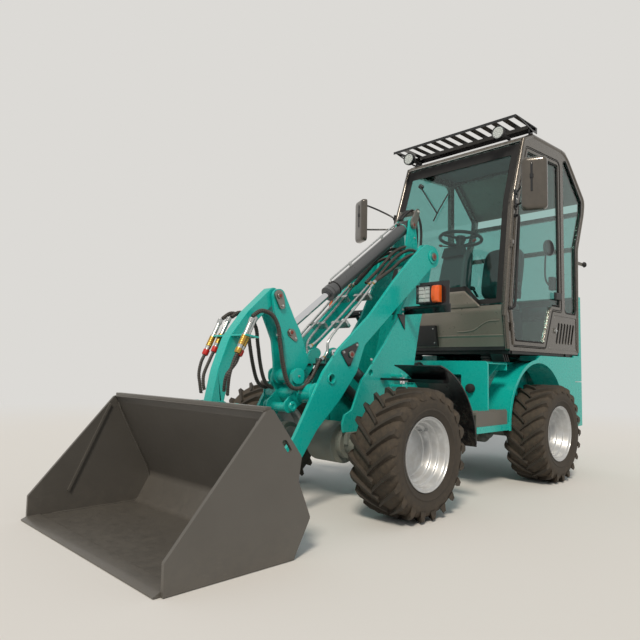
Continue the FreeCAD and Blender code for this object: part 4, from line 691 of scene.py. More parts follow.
for body, way, thread, seats in (
        ("front", Y_AXIS, 0.009, ((-0.239, 0.0723, 1.950), (0.085, 0.2105, 1.305), (0.085, 0.2105, 1.335))),
        ("front", Y_AXIS, 0.010, ((0.430, 0.2005, 0.960),)),
        ("front", Z_AXIS, 0.008, ((0.290, 0.500, 0.848), (0.290, 0.580, 0.848), (0.290, 0.660, 0.842))),
        ("arm", Y_AXIS, 0.009, ((0.766, 0.2535, 1.000), (0.640, 0.2535, 1.052), (0.863, 0.2455, 0.985))),
        ("arm", Z_AXIS, 0.008, ((0.805, 0.128, 0.960),)),
        ("crank", Y_AXIS, 0.008, ((1.030, 0.0755, 1.082),)),
        ("crank_shaft", Y_AXIS, 0.008, ((1.038, 0.1243, 0.842),)),
        ("link_shaft", Y_AXIS, 0.009, ((1.154, 0.0865, 1.280),)),
        ("tilt_shaft", Y_AXIS, 0.009, ((-0.282, 0.0843, 2.170),)),
        ("bucket_body", Y_AXIS, 0.010, ((1.573, 0.2085, 0.640), (1.628, 0.2085, 0.590))),
        ("rear", Y_AXIS, 0.004, ((-1.500, 0.6055, 1.106), (-2.068, 0.6055, 1.108), (-2.068, 0.6055, 1.386),
                                 (-1.622, 0.6055, 1.386))),
        ("rear", Y_AXIS, 0.008, ((-0.875, 0.6290, 2.300),)),
        ("rear", Z_AXIS, 0.007, tuple((x + dx, 0.360, 0.9705) for x in (-0.877, -1.902)
                                      for dx in (-0.055, 0.055))),
        ("rear", -X_AXIS, 0.014, tuple((-2.2525, y, z) for y in (0.16, 0.38) for z in (0.600, 0.460)))):
    for seat in seats:
        on(body, "bolts", True).bolt(seat, way, thread)

# Arm: pins, the keeper plate and steel pipes

pin_end("front", LIFT_PIVOT.x, LIFT_PIVOT.z, 0.257, 0.030, 0.014)
pin_end("arm", RAM_PIN.x, RAM_PIN.z, 0.255, 0.024, 0.013)
on("arm", "black_plates", True).slab([(0.630, 1.072), (0.620, 1.058), (0.700, 0.912), (0.718, 0.910),
                                      (0.786, 0.994), (0.782, 1.010)], 0.2455, 0.2535)
on("arm", "pin_ends", True).turned([(0.024, 0), (0.024, 0.006), (0.022, 0.008), (1e-5, 0.008)],
                                   (NOSE_PIN.x, 0.2532, NOSE_PIN.z), Y_AXIS, 28)
# Bosses round the arm's pins: centre, radius, its chamfer, height, bore and sides
for x, z, radius, chamfer, height, bore, count in (
        (NOSE_PIN.x, NOSE_PIN.z, 0.042, 0.002, 0.008, 0.031, 36),
        (LIFT_PIVOT.x, LIFT_PIVOT.z, 0.054, 0.003, 0.009, 0.0325, 40),
        (FRONT_AXLE_X + 0.270, 0.830, 0.036, 0.002, 0.008, 0.027, 36)):
    on("arm", "teal_plates", True).turned(
        [(radius, 0), (radius, height - 0.002), (radius - chamfer, height), (bore, height), (bore, 0)],
        (x, 0.2452, z), Y_AXIS, count, wrap=True)
# The torque tube's seam where it meets the arm plates.
welded("arm", "teal_welds", [Vector((0.973 + 0.064 * math.cos(a * math.pi / 16), 0.219,
                                     0.735 + 0.064 * math.sin(a * math.pi / 16))) for a in range(33)],
       0.005)

# A short cross tube ahead of the torque tube, between two round-nosed ears
ear = []
for foot_x, foot_z, radius, first in ((1.085, 0.655, 0.044, -126), (0.973, 0.735, 0.054, 54)):
    for k in range(11):
        a = math.radians(first + 18 * k)
        ear.append((foot_x + radius * math.cos(a), foot_z + radius * math.sin(a)))
on("arm", "teal_plates", True).slab(ear, 0.0785, 0.0925)
on("arm", "teal_plates").turned([(0.030, -0.0955), (0.030, 0.0955)], (1.065, 0, 0.643), Y_AXIS, 32)
on("arm", "teal_plates",
   True).turned([(0.031, 0.116), (0.031, 0.126), (0.028, 0.130), (0.014, 0.131), (0.012, 0.126),
                 (1e-5, 0.126)], (1.085, 0, 0.655), Y_AXIS, 32)

PIPE_ROWS = (
    (0.160, [(0.351, 1.520), (0.545, 1.327), (0.725, 1.167), (0.800, 1.090), (0.822, 1.050), (0.822, 1.005),
             (0.840, 0.975), (0.878, 0.950)]),
    (0.100, [(0.280, 1.534), (0.478, 1.336), (0.662, 1.173), (0.740, 1.095), (0.760, 1.055), (0.761, 1.005),
             (0.780, 0.975), (0.818, 0.951)]),
    (0.096, [(0.324, 1.522), (0.472, 1.395), (0.774, 1.137), (0.858, 1.071), (0.926, 1.028)]),
)
for y, row in PIPE_ROWS:
    path = smooth_row([(x, y, z) for x, z in row], 0.010)
    on("arm", "pipes", True).tube(path, 0.0082, 14)
    for end, inner in ((path[0], path[2]), (path[-1], path[-3])):
        along = (inner - end).normalized()
        on("arm", "bolts", True).turned([(0.0145, -0.004), (0.0145, 0.018), (0.0120, 0.021)], end, along, 6)
        on("arm", "collars", True).turned([(0.0115, 0.020), (0.0115, 0.030)], end, along, 16)
for x, z in ((0.415, 1.415), (0.640, 1.205)):
    on("arm", "clamps", True).slab([(x - 0.022, z - 0.020), (x + 0.014, z + 0.016), (x + 0.030, z),
                                    (x - 0.006, z - 0.036)], 0.035, 0.178)
    on("arm", "bolts", True).bolt(Vector((x + 0.012, 0.130, z - 0.004)), (0.7, 0, 0.72), 0.008)
on("arm", "clamps", True).box((0.762, 0.078, 0.925), (0.852, 0.175, 0.960))
# The bracket that carries the pipes, welded to the arm's inner face.
on("arm", "dark_metal", True).slab([(0.745, 0.925), (0.870, 0.925), (0.870, 0.912), (0.745, 0.912)], 0.070,
                                   0.2195)

# Tilt cylinder: its own pipe on two clips, the hose ports and the rings at its gland

tilt_way = (TILT_EYE - TILT_ANCHOR).normalized()
tilt_up = Vector((-tilt_way.z, 0, tilt_way.x))
top_pipe = [TILT_ANCHOR + tilt_way * s + tilt_up * h for s, h in
            ((0.075, 0.050), (0.085, 0.068), (0.130, 0.072), (0.550, 0.072), (0.960, 0.072), (1.005, 0.066),
             (1.020, 0.050))]
on("tilt_tube", "pipes").tube(smooth_row(top_pipe, 0.010), 0.0065, 14)
for s in (0.075, 1.020):
    on("tilt_tube", "dark_metal").turned([(0.016, 0.038), (0.016, 0.056), (0.012, 0.060)],
                                         TILT_ANCHOR + tilt_way * s, tilt_up, 20)
for s in (0.320, 0.760):
    on("tilt_tube", "clamps").rows([[TILT_ANCHOR + tilt_way * (s + d) + tilt_up * h + Y_AXIS * y for d, h in
                                     ((-0.012, 0.0475), (0.012, 0.0475), (0.012, 0.080), (-0.012, 0.080))]
                                    for y in (-0.006, 0.006)])
for s, radius in ((1.000, 0.0555), (1.062, 0.0548)):
    on("tilt_tube", "dark_metal").turned([(radius - 0.002, -0.004), (radius, -0.002), (radius, 0.002),
                                          (radius - 0.002, 0.004)], TILT_ANCHOR + tilt_way * s, tilt_way,
                                         40)
on("tilt_tube", "teal_welds").turned([(0.0495, 0.052), (0.052, 0.056), (0.0495, 0.060)], TILT_ANCHOR,
                                     tilt_way, 40)

# Hoses. A guarded hose is wound with a nylon strip; each crosses joints piece by piece.


def guard_wrap(row, radius, pitch=0.0135, wide=0.0085, thick=0.0020, parts=5):
    """A flat nylon strip wound round a hose: its row of points is 5 mm apart."""
    side = (row[1] - row[0]).orthogonal().normalized()
    rings = []
    for i in range((len(row) - 1) * parts + 1):
        low = min(i // parts, len(row) - 2)
        along = (row[low + 1] - row[low]).normalized()
        side = (side - along * side.dot(along)).normalized()
        across = along.cross(side)
        turn = 2 * math.pi * i * 0.005 / parts / pitch
        out = side * math.cos(turn) + across * math.sin(turn)
        centre = row[low].lerp(row[low + 1], i / parts - low)
        rings.append([centre + out * (radius + lift) + along * run for run, lift in
                      ((-wide / 2, -0.0003), (wide / 2, -0.0003), (wide / 2 - 0.001, thick),
                       (0.001 - wide / 2, thick))])
    return Draft().rows(rings)


def hose(name, bodies, row, radius=0.011, guarded=False):
    """One stretch of hose. Between two bodies it rides on neither and stays where it is drawn."""
    forms = [(name, Draft().tube(row, radius, 14), hose_rubber)]
    if guarded:
        forms.append((name + "_guard", guard_wrap(row, radius), guard_nylon))
    for label, draft, material in forms:
        single = isinstance(bodies, str)
        piece = draft.made(label, bodies if single else None, material, "mount_rubber", sharp=50)
        if not single:
            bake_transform(piece)


def cut_hose(name, row, radius, guarded, stretches):
    """A hose in named stretches; each ends at a share of its length."""
    start = 0
    for label, bodies, share in stretches:
        end = round(len(row) * share) if share < 1 else len(row) - 1
        hose(name + label, bodies, row[start:end + 1], radius, guarded)
        start = end


def linked_hose(name, points, bodies, cuts):
    """A guarded hose over joints: between each pair of cuts, as shares of its length, a stretch rides on neither
    body and stays where it is drawn.
    """
    row = smooth_row(points, 0.005)
    last = len(row) - 1
    places = [0] + [round(share * last) for pair in cuts for share in pair] + [last]
    for i, body in enumerate(bodies):
        stretches = [(2 * i, body)] + ([(2 * i + 1, (body, bodies[i + 1]))] if i + 1 < len(bodies) else [])
        for step, riding in stretches:
            if places[step + 1] > places[step]:
                hose("%s_%d" % (name, step), riding, row[places[step]:places[step + 1] + 1], guarded=True)


LOADER_CHAIN = ("arm", "crank_shaft", "crank", "link_shaft", "link")
LOADER_CUTS = ((0.02, 0.14), (0.15, 0.30), (0.62, 0.74), (0.76, 0.90))
LOOP_POINTS = (
    (0.110, [(0.818, 0.951), (0.862, 0.905), (0.909, 0.840), (0.975, 0.778), (1.054, 0.763), (1.120, 0.800),
             (1.160, 0.900), (1.189, 1.046), (1.205, 1.140), (1.256, 1.212), (1.340, 1.233),
             (1.400, 1.200)]),
    (0.150, [(0.878, 0.950), (0.905, 0.910), (0.948, 0.841), (1.010, 0.782), (1.090, 0.765), (1.150, 0.800),
             (1.190, 0.900), (1.224, 1.044), (1.239, 1.136), (1.289, 1.207), (1.372, 1.228),
             (1.440, 1.190)]),
)
for side_name, sign in SIDES:
    for number, (y, row) in enumerate(LOOP_POINTS):
        linked_hose("loader_hose_%s_%d" % (side_name, number), [(x, sign * y, z) for x, z in row],
                    LOADER_CHAIN, LOADER_CUTS)
# Link: a bracket across it carries two couplings a side, with a hose down to the bucket's tool circuit

bracket = Draft().slab([(1.410, 1.062), (1.413, 1.072), (1.506, 1.084), (1.508, 1.074)], -0.182, 0.182)
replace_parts(bracket.made("coupling_bracket", "link", teal_enamel, "teal_paint", 0.0015), "coupler_block")


def coupling(top, foot, cap):
    """A flat-faced quick coupling on the link: hexagon, sleeve, knurled collar and a dust cap on its lower end."""
    way = (foot - top).normalized()
    length = (foot - top).length
    on("link", "bolts").turned([(0.0165, 0), (0.0165, 0.028), (0.0145, 0.031)], top, way, 6)
    on("link", "pipes").turned([(0.0135, 0.030), (0.0135, length * 0.45), (0.017, length * 0.47),
                                (0.017, length * 0.8), (0.0155, length * 0.82), (0.0155, length * 0.86)],
                               top, way, 28)
    rings = []
    for k in range(5):
        s = length * (0.5 + k * 0.055)
        rings += [(0.0172, s), (0.0184, s + length * 0.012), (0.0184, s + length * 0.035),
                  (0.0172, s + length * 0.047)]
    on("link", "collars").turned(rings, top, way, 28)
    on("link", "grips" if cap == "red" else "collars").turned(
        [(0.0195, length * 0.86), (0.0195, length * 0.97), (0.017, length), (1e-5, length)], top, way, 24)


# Each coupling's top, its foot and the colour of its cap
COUPLINGS = {
    "left": (((1.391, 0.118, 1.190), (1.506, 0.118, 0.958), "red"),
             ((1.447, 0.158, 1.178), (1.548, 0.158, 0.972), "gold")),
    "right": (((1.410, -0.118, 1.196), (1.520, -0.118, 0.980), "red"),
              ((1.447, -0.158, 1.184), (1.556, -0.158, 0.962), "red")),
}
for side_name, places in COUPLINGS.items():
    for number, (top, foot, cap) in enumerate(places):
        top, foot = Vector(top), Vector(foot)
        coupling(top, foot, cap)
        lower = [foot, foot + (foot - top).normalized() * 0.050,
                 Vector((1.583 + 0.010 * number, foot.y * 0.98, 0.850)),
                 Vector((1.592, foot.y * 0.90, 0.790)),
                 Vector((1.588, foot.y * 0.84, 0.755 - 0.02 * number))]
        hose("tool_hose_%s_%d" % (side_name, number), "link", smooth_row(lower, 0.005), 0.0085, True)

# Feed hoses from the tower over the lift pivot to the arm's pipes: y and drop at the tower, and the far end
for side_name, sign in SIDES:
    for number, (y, drop, (end_x, end_y, end_z)) in enumerate((
            (0.100, 0.0, (0.280, 0.100, 1.534)),
            (0.140, -0.040, (0.351, 0.160, 1.520)),
            (0.060, 0.030, (0.324, 0.050, 1.522)))):
        row = smooth_row([(-0.247, sign * y, 1.831 + drop), (-0.126, sign * y, 1.830 + drop),
                          (0.020, sign * y, 1.760 + drop),
                          (0.150, sign * (y + end_y) / 2, 1.655 + drop / 2),
                          (end_x, sign * end_y, end_z)], 0.005)
        cut_hose("tower_hose_%s_%d" % (side_name, number), row, 0.0105, True,
                 (("_front", "front", 0.12), ("_bend", ("front", "arm"), 0.62), ("_arm", "arm", 1)))

# Two hoses over the tower's top to the tilt cylinder, held by the pin's saddle
for number, y in enumerate((-0.022, 0.022)):
    row = smooth_row([(-0.110, y * 2, 1.330), (-0.170, y * 2, 1.430), (-0.265, y * 1.6, 1.560),
                      (-0.345, y, 1.720),
                      (-0.392, y, 1.900), (-0.400, y, 2.060), (-0.355, y, 2.165), (-0.282, y, 2.194),
                      (-0.215, y * 0.8, 2.160), (-0.160, y * 0.6, 2.110), (-0.1515, y * 0.4, 2.093)], 0.005)
    cut_hose("tilt_hose_%d" % number, row, 0.010, False,
             (("_front", "front", 0.52), ("_first", ("front", "tilt_shaft"), 0.76),
              ("_saddle", "tilt_shaft", 0.86),
              ("_second", ("tilt_shaft", "tilt_tube"), 1)))

# Hoses across the steering joint
for number, (y, z) in enumerate(((0.060, 0.900), (0.020, 0.880), (-0.020, 0.905), (-0.060, 0.885))):
    row = smooth_row([(-0.470, y, z), (-0.400, y, z + 0.010), (-0.322, y * 1.2, z + 0.045),
                      (-0.240, y, z + 0.030), (-0.150, y, z + 0.050), (-0.060, y, z + 0.060)], 0.008)
    cut_hose("steer_hose_%d" % number, row, 0.010, False,
             (("_rear", "rear", 0.12), ("_bend", ("rear", "front"), 0.72), ("_front", "front", 1)))

# Bell crank and hitch

pin_end("crank", TILT_EYE.x, TILT_EYE.z, 0.0765, 0.022, 0.011)
on("crank", "pin_ends",
   True).slab([(1.050, 1.140), (1.035, 1.128), (1.012, 1.078), (1.018, 1.062), (1.036, 1.064),
               (1.092, 1.098), (1.098, 1.122), (1.082, 1.142)], 0.0705, 0.0755)
pin_end("link_shaft", LINK_TOP.x, LINK_TOP.z, 0.0863, 0.020, 0.011)
pin_end("tilt_shaft", TILT_ANCHOR.x, TILT_ANCHOR.z, 0.0843, 0.022, 0.011)
on("bucket_body", "pin_ends", True).turned([(0.022, 0), (0.022, 0.006), (1e-5, 0.007)],
                                           (LINK_FOOT.x, 0.076, LINK_FOOT.z), Y_AXIS, 24)

# Bucket: the beads that join floor, back and sides, and the one behind the cutting edge

side_path = [(2.180, 0.0165), (1.900, 0.0165), (1.720, 0.0165), (1.655, 0.021), (1.612, 0.048),
             (1.583, 0.092),
             (1.571, 0.140), (1.574, 0.190), (1.620, 0.290), (1.700, 0.441), (1.775, 0.590), (1.800, 0.650)]
welded("bucket_body", "welds", [(x, 0.7515, z) for x, z in side_path], 0.0045)
for x, z in ((2.2455, 0.0165), (1.825, 0.694)):
    welded("bucket_body", "welds", [(x, y, z) for y in (-0.750, -0.4, 0.0, 0.4, 0.750)], 0.004, pair=False)
on("bucket_body", "welds", True).slab([(2.090, 0.1315), (2.100, 0.1415), (1.860, 0.652), (1.850, 0.642)],
                                      0.7415, 0.7535)
for y in (-0.5375, -0.3225, -0.1075, 0.1075, 0.3225, 0.5375):
    on("bucket_body", "welds").slab([(1.770, 0.668), (1.782, 0.690), (1.808, 0.690), (1.796, 0.668)],
                                    y - 0.006, y + 0.006)

# Front fenders: a rolled lip along both edges

fender_radius = 0.5405
for y in (0.797, 0.446):
    arc = [Vector((FRONT_AXLE_X + fender_radius * math.cos(math.radians(a)), y,
                   AXLE_Z + fender_radius * math.sin(math.radians(a))))
           for a in range(103, 181 if y > 0.7 else 147, 3)]
    on("front", "black_plates", True).tube(arc, 0.0055, 10)

# Headlamps: a black housing, a white insert behind a clear lens, and an amber turn lamp outside it

lamp_back = Draft()
lamp_back.face_slab([(0.356, 1.364), (0.536, 1.364), (0.536, 1.500), (0.356, 1.500)], 0.0585, 0.0640)
lamp_back.face_slab([(0.4815, 1.368), (0.4862, 1.368), (0.4862, 1.496), (0.4815, 1.496)], 0.0585, 0.118)
lamp_back.both_sides().made("headlamp_backs", "front", black_plastic, "black_plastic", 0.0015)
# The insert has two columns and four rows of lens cells.
bezel = Draft()
bezel.pierced([(0.3565, 1.3645), (0.4830, 1.3645), (0.4830, 1.4995), (0.3565, 1.4995)],
              [[(0.3655, 1.3735), (0.4740, 1.3735), (0.4740, 1.4905), (0.3655, 1.4905)]], 0.0645, 0.1270,
              lambda y, z, x: (x, y, z))
bezel.both_sides().made("headlamp_bezels", "front", black_plastic, "black_plastic", 0.003)
cells = Draft()
cells.face_slab([(0.364, 1.372), (0.4755, 1.372), (0.4755, 1.492), (0.364, 1.492)], 0.0950, 0.1020)
for column in range(2):
    for line in range(4):
        y, z = 0.3930 + column * 0.0535, 1.3880 + line * 0.0292
        cells.rows([[(x, y + a * share, z + b * share) for a, b in
                     ((-0.0235, -0.0120), (0.0235, -0.0120), (0.0235, 0.0120), (-0.0235, 0.0120))]
                    for x, share in ((0.1015, 1.0), (0.1100, 1.0), (0.1150, 0.86), (0.1165, 0.5))])
cells.both_sides().made("headlamp_cells", "front", white_led, "lamp_lens", 0.001)
lens_line = [(0.1180, 1.3745), (0.128, 1.3745), (0.134, 1.395), (0.1360, 1.430), (0.134, 1.467),
             (0.128, 1.4895),
             (0.1180, 1.4895)]
lens = Draft().slab(lens_line, 0.3665, 0.4730)
lens_piece = lens.both_sides().made("headlamp_lenses", "front", lamp_glass, "lamp_lens", 0.003)
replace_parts(lens_piece, "headlamps")
turn_line = [(0.0645, 1.3725), (0.108, 1.3725), (0.120, 1.380), (0.1265, 1.402), (0.1280, 1.430),
             (0.1255, 1.462),
             (0.118, 1.484), (0.106, 1.4915), (0.0645, 1.4915)]
turn_lens = Draft().rows([[(0.0645 + (x - 0.0645) * share, y, z) for x, z in turn_line]
                          for y, share in ((0.486, 1.0), (0.508, 1.0), (0.520, 0.95), (0.529, 0.80),
                                           (0.5338, 0.45))])
for k in range(9):
    z = 1.384 + k * 0.012
    turn_lens.rows([[(0.1260 - 0.0008 * abs(k - 4), y, z - 0.0012), (0.1292 - 0.0008 * abs(k - 4), y, z),
                     (0.1260 - 0.0008 * abs(k - 4), y, z + 0.0012)] for y in (0.488, 0.514)])
turn_piece = turn_lens.both_sides().made("turn_lamp_lenses", "front", amber_lens, "amber_lens", 0.001)
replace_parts(turn_piece, "indicator_lamps")

# Rear fenders: a rolled sheet over each wheel, a side wall behind it and a sill under the step

ARCH = Vector((REAR_AXLE_X - 0.020, 0, 0.467))


def arch_point(radius, degrees):
    """A point (x, z) of the arch: 0 degrees is its rear end and 90 its top."""
    a = math.radians(degrees)
    return (ARCH.x - radius * math.cos(a), ARCH.z + radius * math.sin(a))


def rolled_row(radius):
    return [arch_point(radius, a) for a in range(-6, 181, 6)] + [(ARCH.x + radius, 0.430)]


fenders = Draft().slab(rolled_row(0.500) + rolled_row(0.505)[::-1], 0.385, 0.6195)
wall = [(ARCH.x + 0.5005, 0.432)] + [arch_point(0.5005, a) for a in range(180, -7, -6)]
wall += [(-2.0185, 0.405), (-2.0185, 1.0315), (-1.300, 1.0315)]
wall += [arch_point(0.530, a) for a in range(96, 181, 6)] + [(ARCH.x + 0.530, 0.432)]
fenders.pierced(wall, [], 0.6125, 0.6198, lambda x, z, y: (x, y, z))
fenders.slab([(-1.300, 0.985), (-1.300, 1.0315), (-2.0185, 1.0315), (-2.0185, 0.985)], 0.430, 0.6130)
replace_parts(fenders.both_sides().made("rear_fenders", "rear", teal_enamel, "teal_paint", 0.0015, sharp=25),
            "side_panels")
sill = [(-0.272, 0.486), (-0.736, 0.486), (-0.766, 0.520), (-0.772, 0.560), (-0.778, 0.560),
        (-0.778, 0.470),
        (-0.768, 0.446), (-0.742, 0.438), (-0.272, 0.438)]
shelf = Draft().slab(sill, 0.6065, 0.6125)
shelf.box((-0.760, 0.425, 0.948), (-0.470, 0.590, 0.954)).box((-0.766, 0.425, 0.900),
                                                              (-0.760, 0.590, 0.954))
shelf.face_slab([(0.428, 0.947), (0.560, 0.947), (0.428, 0.800)], -0.700, -0.692)
shelf.both_sides().made("sills", "rear", teal_enamel, "teal_paint", 0.002)

# Steps with a pressed serrated tread

for row in range(4):
    for k in range(15):
        x, y = -0.715 + k * 0.0295 + (row % 2) * 0.006, 0.410 + row * 0.048
        on("rear", "treads", True).turned([(0.0105, 0), (0.0095, 0.003), (0.0070, 0.0045), (0.0055, 0.001),
                                           (1e-5, 0.001)], (x, y, 0.5895), Z_AXIS, 8)
for k in range(15):
    x = -0.716 + k * 0.030
    on("rear", "treads",
       True).slab([(x, 0.5895), (x + 0.004, 0.6020), (x + 0.014, 0.6020), (x + 0.018, 0.5895)],
                  0.5995, 0.6055)
on("rear", "pads",
   True).turned([(0.034, -0.030), (0.036, 0.0), (0.030, 0.016), (0.016, 0.022), (1e-5, 0.023)],
                (-0.440, 0.450, 0.760), X_AXIS, 28)

# Cab shell: windscreen border, nose pressings, seals, handles

def bowed(points, radii, step=6):
    """A row of (x, z) points with its inner corners rounded to these radii."""
    row = [Vector((points[0][0], 0, points[0][1]))]
    for i in range(1, len(points) - 1):
        before, here, after = (Vector((x, 0, z)) for x, z in points[i - 1:i + 2])
        back, ahead = (before - here).normalized(), (after - here).normalized()
        half = back.angle(ahead) / 2
        reach = radii[i - 1] / math.tan(half)
        first, last = here + back * reach, here + ahead * reach
        for k in range(step + 1):
            t = k / step
            row.append(first * (1 - t) ** 2 + here * 2 * t * (1 - t) + last * t * t)
    row.append(Vector((points[-1][0], 0, points[-1][1])))
    return row


def ahead_of_axle(points):
    return [(FRONT_AXLE_X + x, z) for x, z in points]


screen = bowed(ahead_of_axle([(-1.328, 1.430), (-1.454, 2.290), (-1.648, 2.846)]), [0.7], 16)


def on_screen(z, off=0.001):
    """The windscreen's outer surface at a height, moved out by a little."""
    for low, high in zip(screen, screen[1:]):
        if low.z <= z <= high.z or high is screen[-1] or z < screen[0].z:
            way = (high - low).normalized()
            return low + way * ((z - low.z) / way.z) + Vector((way.z, 0, -way.x)) * off
    return screen[-1]


def screen_band(draft, z_low, z_high, edge_low, edge_high, steps=20):
    """A band on the glass between two heights; the edges are functions of the share of the height."""
    outer, inner = [], []
    for k in range(steps + 1):
        share = k / steps
        z = z_low + (z_high - z_low) * share
        for row, off in ((outer, 0.0016), (inner, 0.0002)):
            point = on_screen(z, off)
            row.append((Vector((point.x, edge_low(share), point.z)),
                        Vector((point.x, edge_high(share), point.z))))
    rows = [[o[0], o[1], i[1], i[0]] for o, i in zip(outer, inner)]
    draft.rows(rows)


def level(value):
    return lambda share: value


border = Draft()
for sign in (1, -1):
    screen_band(border, 1.442, 2.835, level(sign * 0.516), level(sign * 0.5695), 40)
screen_band(border, 2.735, 2.838, level(-0.517), level(0.517), 10)
for sign in (1, -1):
    screen_band(border, 1.440, 1.478, level(sign * 0.336), level(sign * 0.517), 6)
    screen_band(border, 1.440, 1.600, lambda share: sign * (0.352 - 0.150 * share),
                lambda share: sign * (0.352 - 0.150 * share) + 0.042 * sign * (1 - 0.1 * share), 12)
screen_band(border, 1.560, 1.602, level(-0.235), level(0.235), 6)
border.made("windscreen_border", "rear", black_rubber, "mount_rubber", sharp=40)

# The nose panel's raised centre, pressed in one with the sheet below it
crown_rows = []
for k in range(9):
    z = 1.418 + (1.562 - 1.418) * k / 8
    half = 0.372 - max(0, (z - 1.425)) * 1.16
    point, back = on_screen(max(z, 1.432),
                            0.010 + (0.004 if k in (0, 8) else 0.010)), on_screen(max(z, 1.432), 0.0015)
    crown_rows.append([Vector((point.x, -half, z)), Vector((point.x, half, z)),
                       Vector((back.x, half + 0.010, z)),
                       Vector((back.x, -half - 0.010, z))])
Draft().rows(crown_rows).made("nose_crown", "rear", cab_metallic, "cab_grey", 0.003, sharp=30)


def on_nose(z, off=0.0):
    """The nose panel's outer face at a height."""
    share = (z - 1.092) / (1.380 - 1.092)
    return Vector((FRONT_AXLE_X - 1.376 + 0.060 * share + off, 0, z))


fold_rows = []
for y, deep in ((-0.5655, 0.0), (-0.5455, 0.0055), (0.5455, 0.0055), (0.5655, 0.0)):
    fold_rows.append([on_nose(z, off) + Y_AXIS * y for z, off in
                      ((1.190, -0.001), (1.186, deep), (1.179, deep), (1.170, -0.001))])
Draft().rows(fold_rows).made("nose_fold", "rear", cab_metallic, "cab_grey", 0.001, sharp=30)
swage = smooth_row([on_nose(1.218, 0.0) + Y_AXIS * 0.150, on_nose(1.219, 0.001) + Y_AXIS * 0.230,
                    on_nose(1.232, 0.001) + Y_AXIS * 0.310, on_nose(1.275, 0.001) + Y_AXIS * 0.390,
                    on_nose(1.297, 0.001) + Y_AXIS * 0.450, on_nose(1.300, 0.001) + Y_AXIS * 0.540], 0.008)
on("rear", "folds", True).tube(swage, 0.0050, 12)
on("rear", "dark_metal").rows([[on_nose(z, off) + Y_AXIS * y for z, off in
                                ((1.098, 0.0), (1.098, 0.028), (1.262, 0.034), (1.278, 0.028),
                                 (1.278, 0.0))]
                               for y in (-0.320, -0.050)])
on("rear", "bolts").bolt(on_nose(1.250, 0.034) + Y_AXIS * -0.072, X_AXIS, 0.006)
on("rear", "bolts").bolt(on_nose(1.130, 0.030) + Y_AXIS * -0.072, X_AXIS, 0.006)
on("rear", "dark_metal").box((-0.800, -0.57, 1.062), (-0.776, 0.57, 1.092))

# A-posts: a round drawn tube outside the frame plate, with its rubber seal
post_line = bowed(ahead_of_axle([(-1.362, 1.075), (-1.3245, 1.380), (-1.458, 2.290), (-1.662, 2.868),
                                 (-1.815, 2.943),
                                 (-2.490, 2.970), (-2.924, 2.592), (-2.893, 2.450), (-2.735, 2.075),
                                 (-2.712, 1.078)]),
                  [0.10, 0.70, 0.10, 0.12, 0.30, 0.10, 0.35, 0.20], 12)
post = Draft()
post.tube([p + Y_AXIS * 0.5985 for p in smooth_row(post_line, 0.02)], 0.0205, 20)
post.both_sides().made("cab_posts", "rear", cab_bronze, "cab_grey", sharp=40)
door_edge = bowed(ahead_of_axle([(-1.428, 1.108), (-1.3755, 1.400), (-1.484, 2.180)]), [0.1], 12)
Draft().tube([p + Y_AXIS * 0.6105 for p in smooth_row(door_edge, 0.02)], 0.0120, 16).made(
    "door_edge", "door", cab_bronze, "cab_grey", sharp=40)
seal = smooth_row([p + Y_AXIS * 0.5765 + X_AXIS * 0.004 for p in screen], 0.02)
on("rear", "seals", True).tube(seal, 0.0055, 10)

door_line = ahead_of_axle([(-1.440, 1.105), (-1.386, 1.400), (-1.511, 2.290), (-1.699, 2.806),
                           (-2.352, 2.845),
                           (-2.352, 1.450), (-2.176, 1.450), (-2.024, 1.105)])
loop = bowed(door_line + door_line[:2], [0.06, 0.5, 0.05, 0.06, 0.03, 0.02, 0.02, 0.02], 8)[1:-1]
on("door", "seals").tube([p + Y_AXIS * 0.6085 for p in loop], 0.0050, 10)
window_line = ahead_of_axle([(-1.484, 1.145), (-1.434, 1.400), (-1.556, 2.290), (-1.730, 2.765),
                             (-2.312, 2.800),
                             (-2.312, 1.492), (-2.204, 1.492), (-2.052, 1.145)])
window = bowed(window_line + window_line[:2], [0.05, 0.5, 0.04, 0.04, 0.02, 0.02, 0.02, 0.02], 8)[1:-1]
on("door", "seals").tube([p + Y_AXIS * 0.6020 for p in window], 0.0065, 10)
quarter_line = ahead_of_axle([(-2.438, 1.440), (-2.438, 2.868), (-2.500, 2.896), (-2.862, 2.571),
                              (-2.849, 2.462),
                              (-2.690, 2.090), (-2.690, 1.440)])
quarter = bowed(quarter_line + quarter_line[:2], [0.03, 0.03, 0.03, 0.05, 0.05, 0.08, 0.03], 8)[1:-1]
on("rear", "seals", True).tube([p + Y_AXIS * 0.6065 for p in quarter], 0.0065, 10)

# Grab bars: one turns with the door, the other is fixed; then the door's latch and its stay
grab = smooth_row([(-0.878, 0.622, 2.165), (-0.872, 0.648, 2.155), (-0.860, 0.652, 2.05),
                   (-0.812, 0.652, 1.62),
                   (-0.792, 0.650, 1.44), (-0.783, 0.640, 1.405), (-0.775, 0.622, 1.395)], 0.010)
for body, side in (("door", 1), ("rear", -1)):
    on(body, "plastic").tube([Vector((p.x, side * p.y, p.z)) for p in grab], 0.0105, 14)
    for x, z in ((-0.878, 2.165), (-0.775, 1.395)):
        on(body, "plastic").turned([(0.020, 0), (0.020, 0.008), (0.014, 0.014)],
                                   Vector((x, side * 0.6095, z)),
                                   Y_AXIS * side, 20)
on("door", "plastic").rows([[(x, y, z) for x, z in outline] for y, outline in (
    (0.6095, [(-1.735, 1.545), (-1.605, 1.545), (-1.605, 1.610), (-1.735, 1.610)]),
    (0.6230, [(-1.733, 1.547), (-1.607, 1.547), (-1.607, 1.608), (-1.733, 1.608)]),
    (0.6300, [(-1.722, 1.556), (-1.618, 1.556), (-1.618, 1.600), (-1.722, 1.600)]))])
on("door", "plastic").box((-1.720, 0.540, 1.640), (-1.650, 0.581, 1.760))
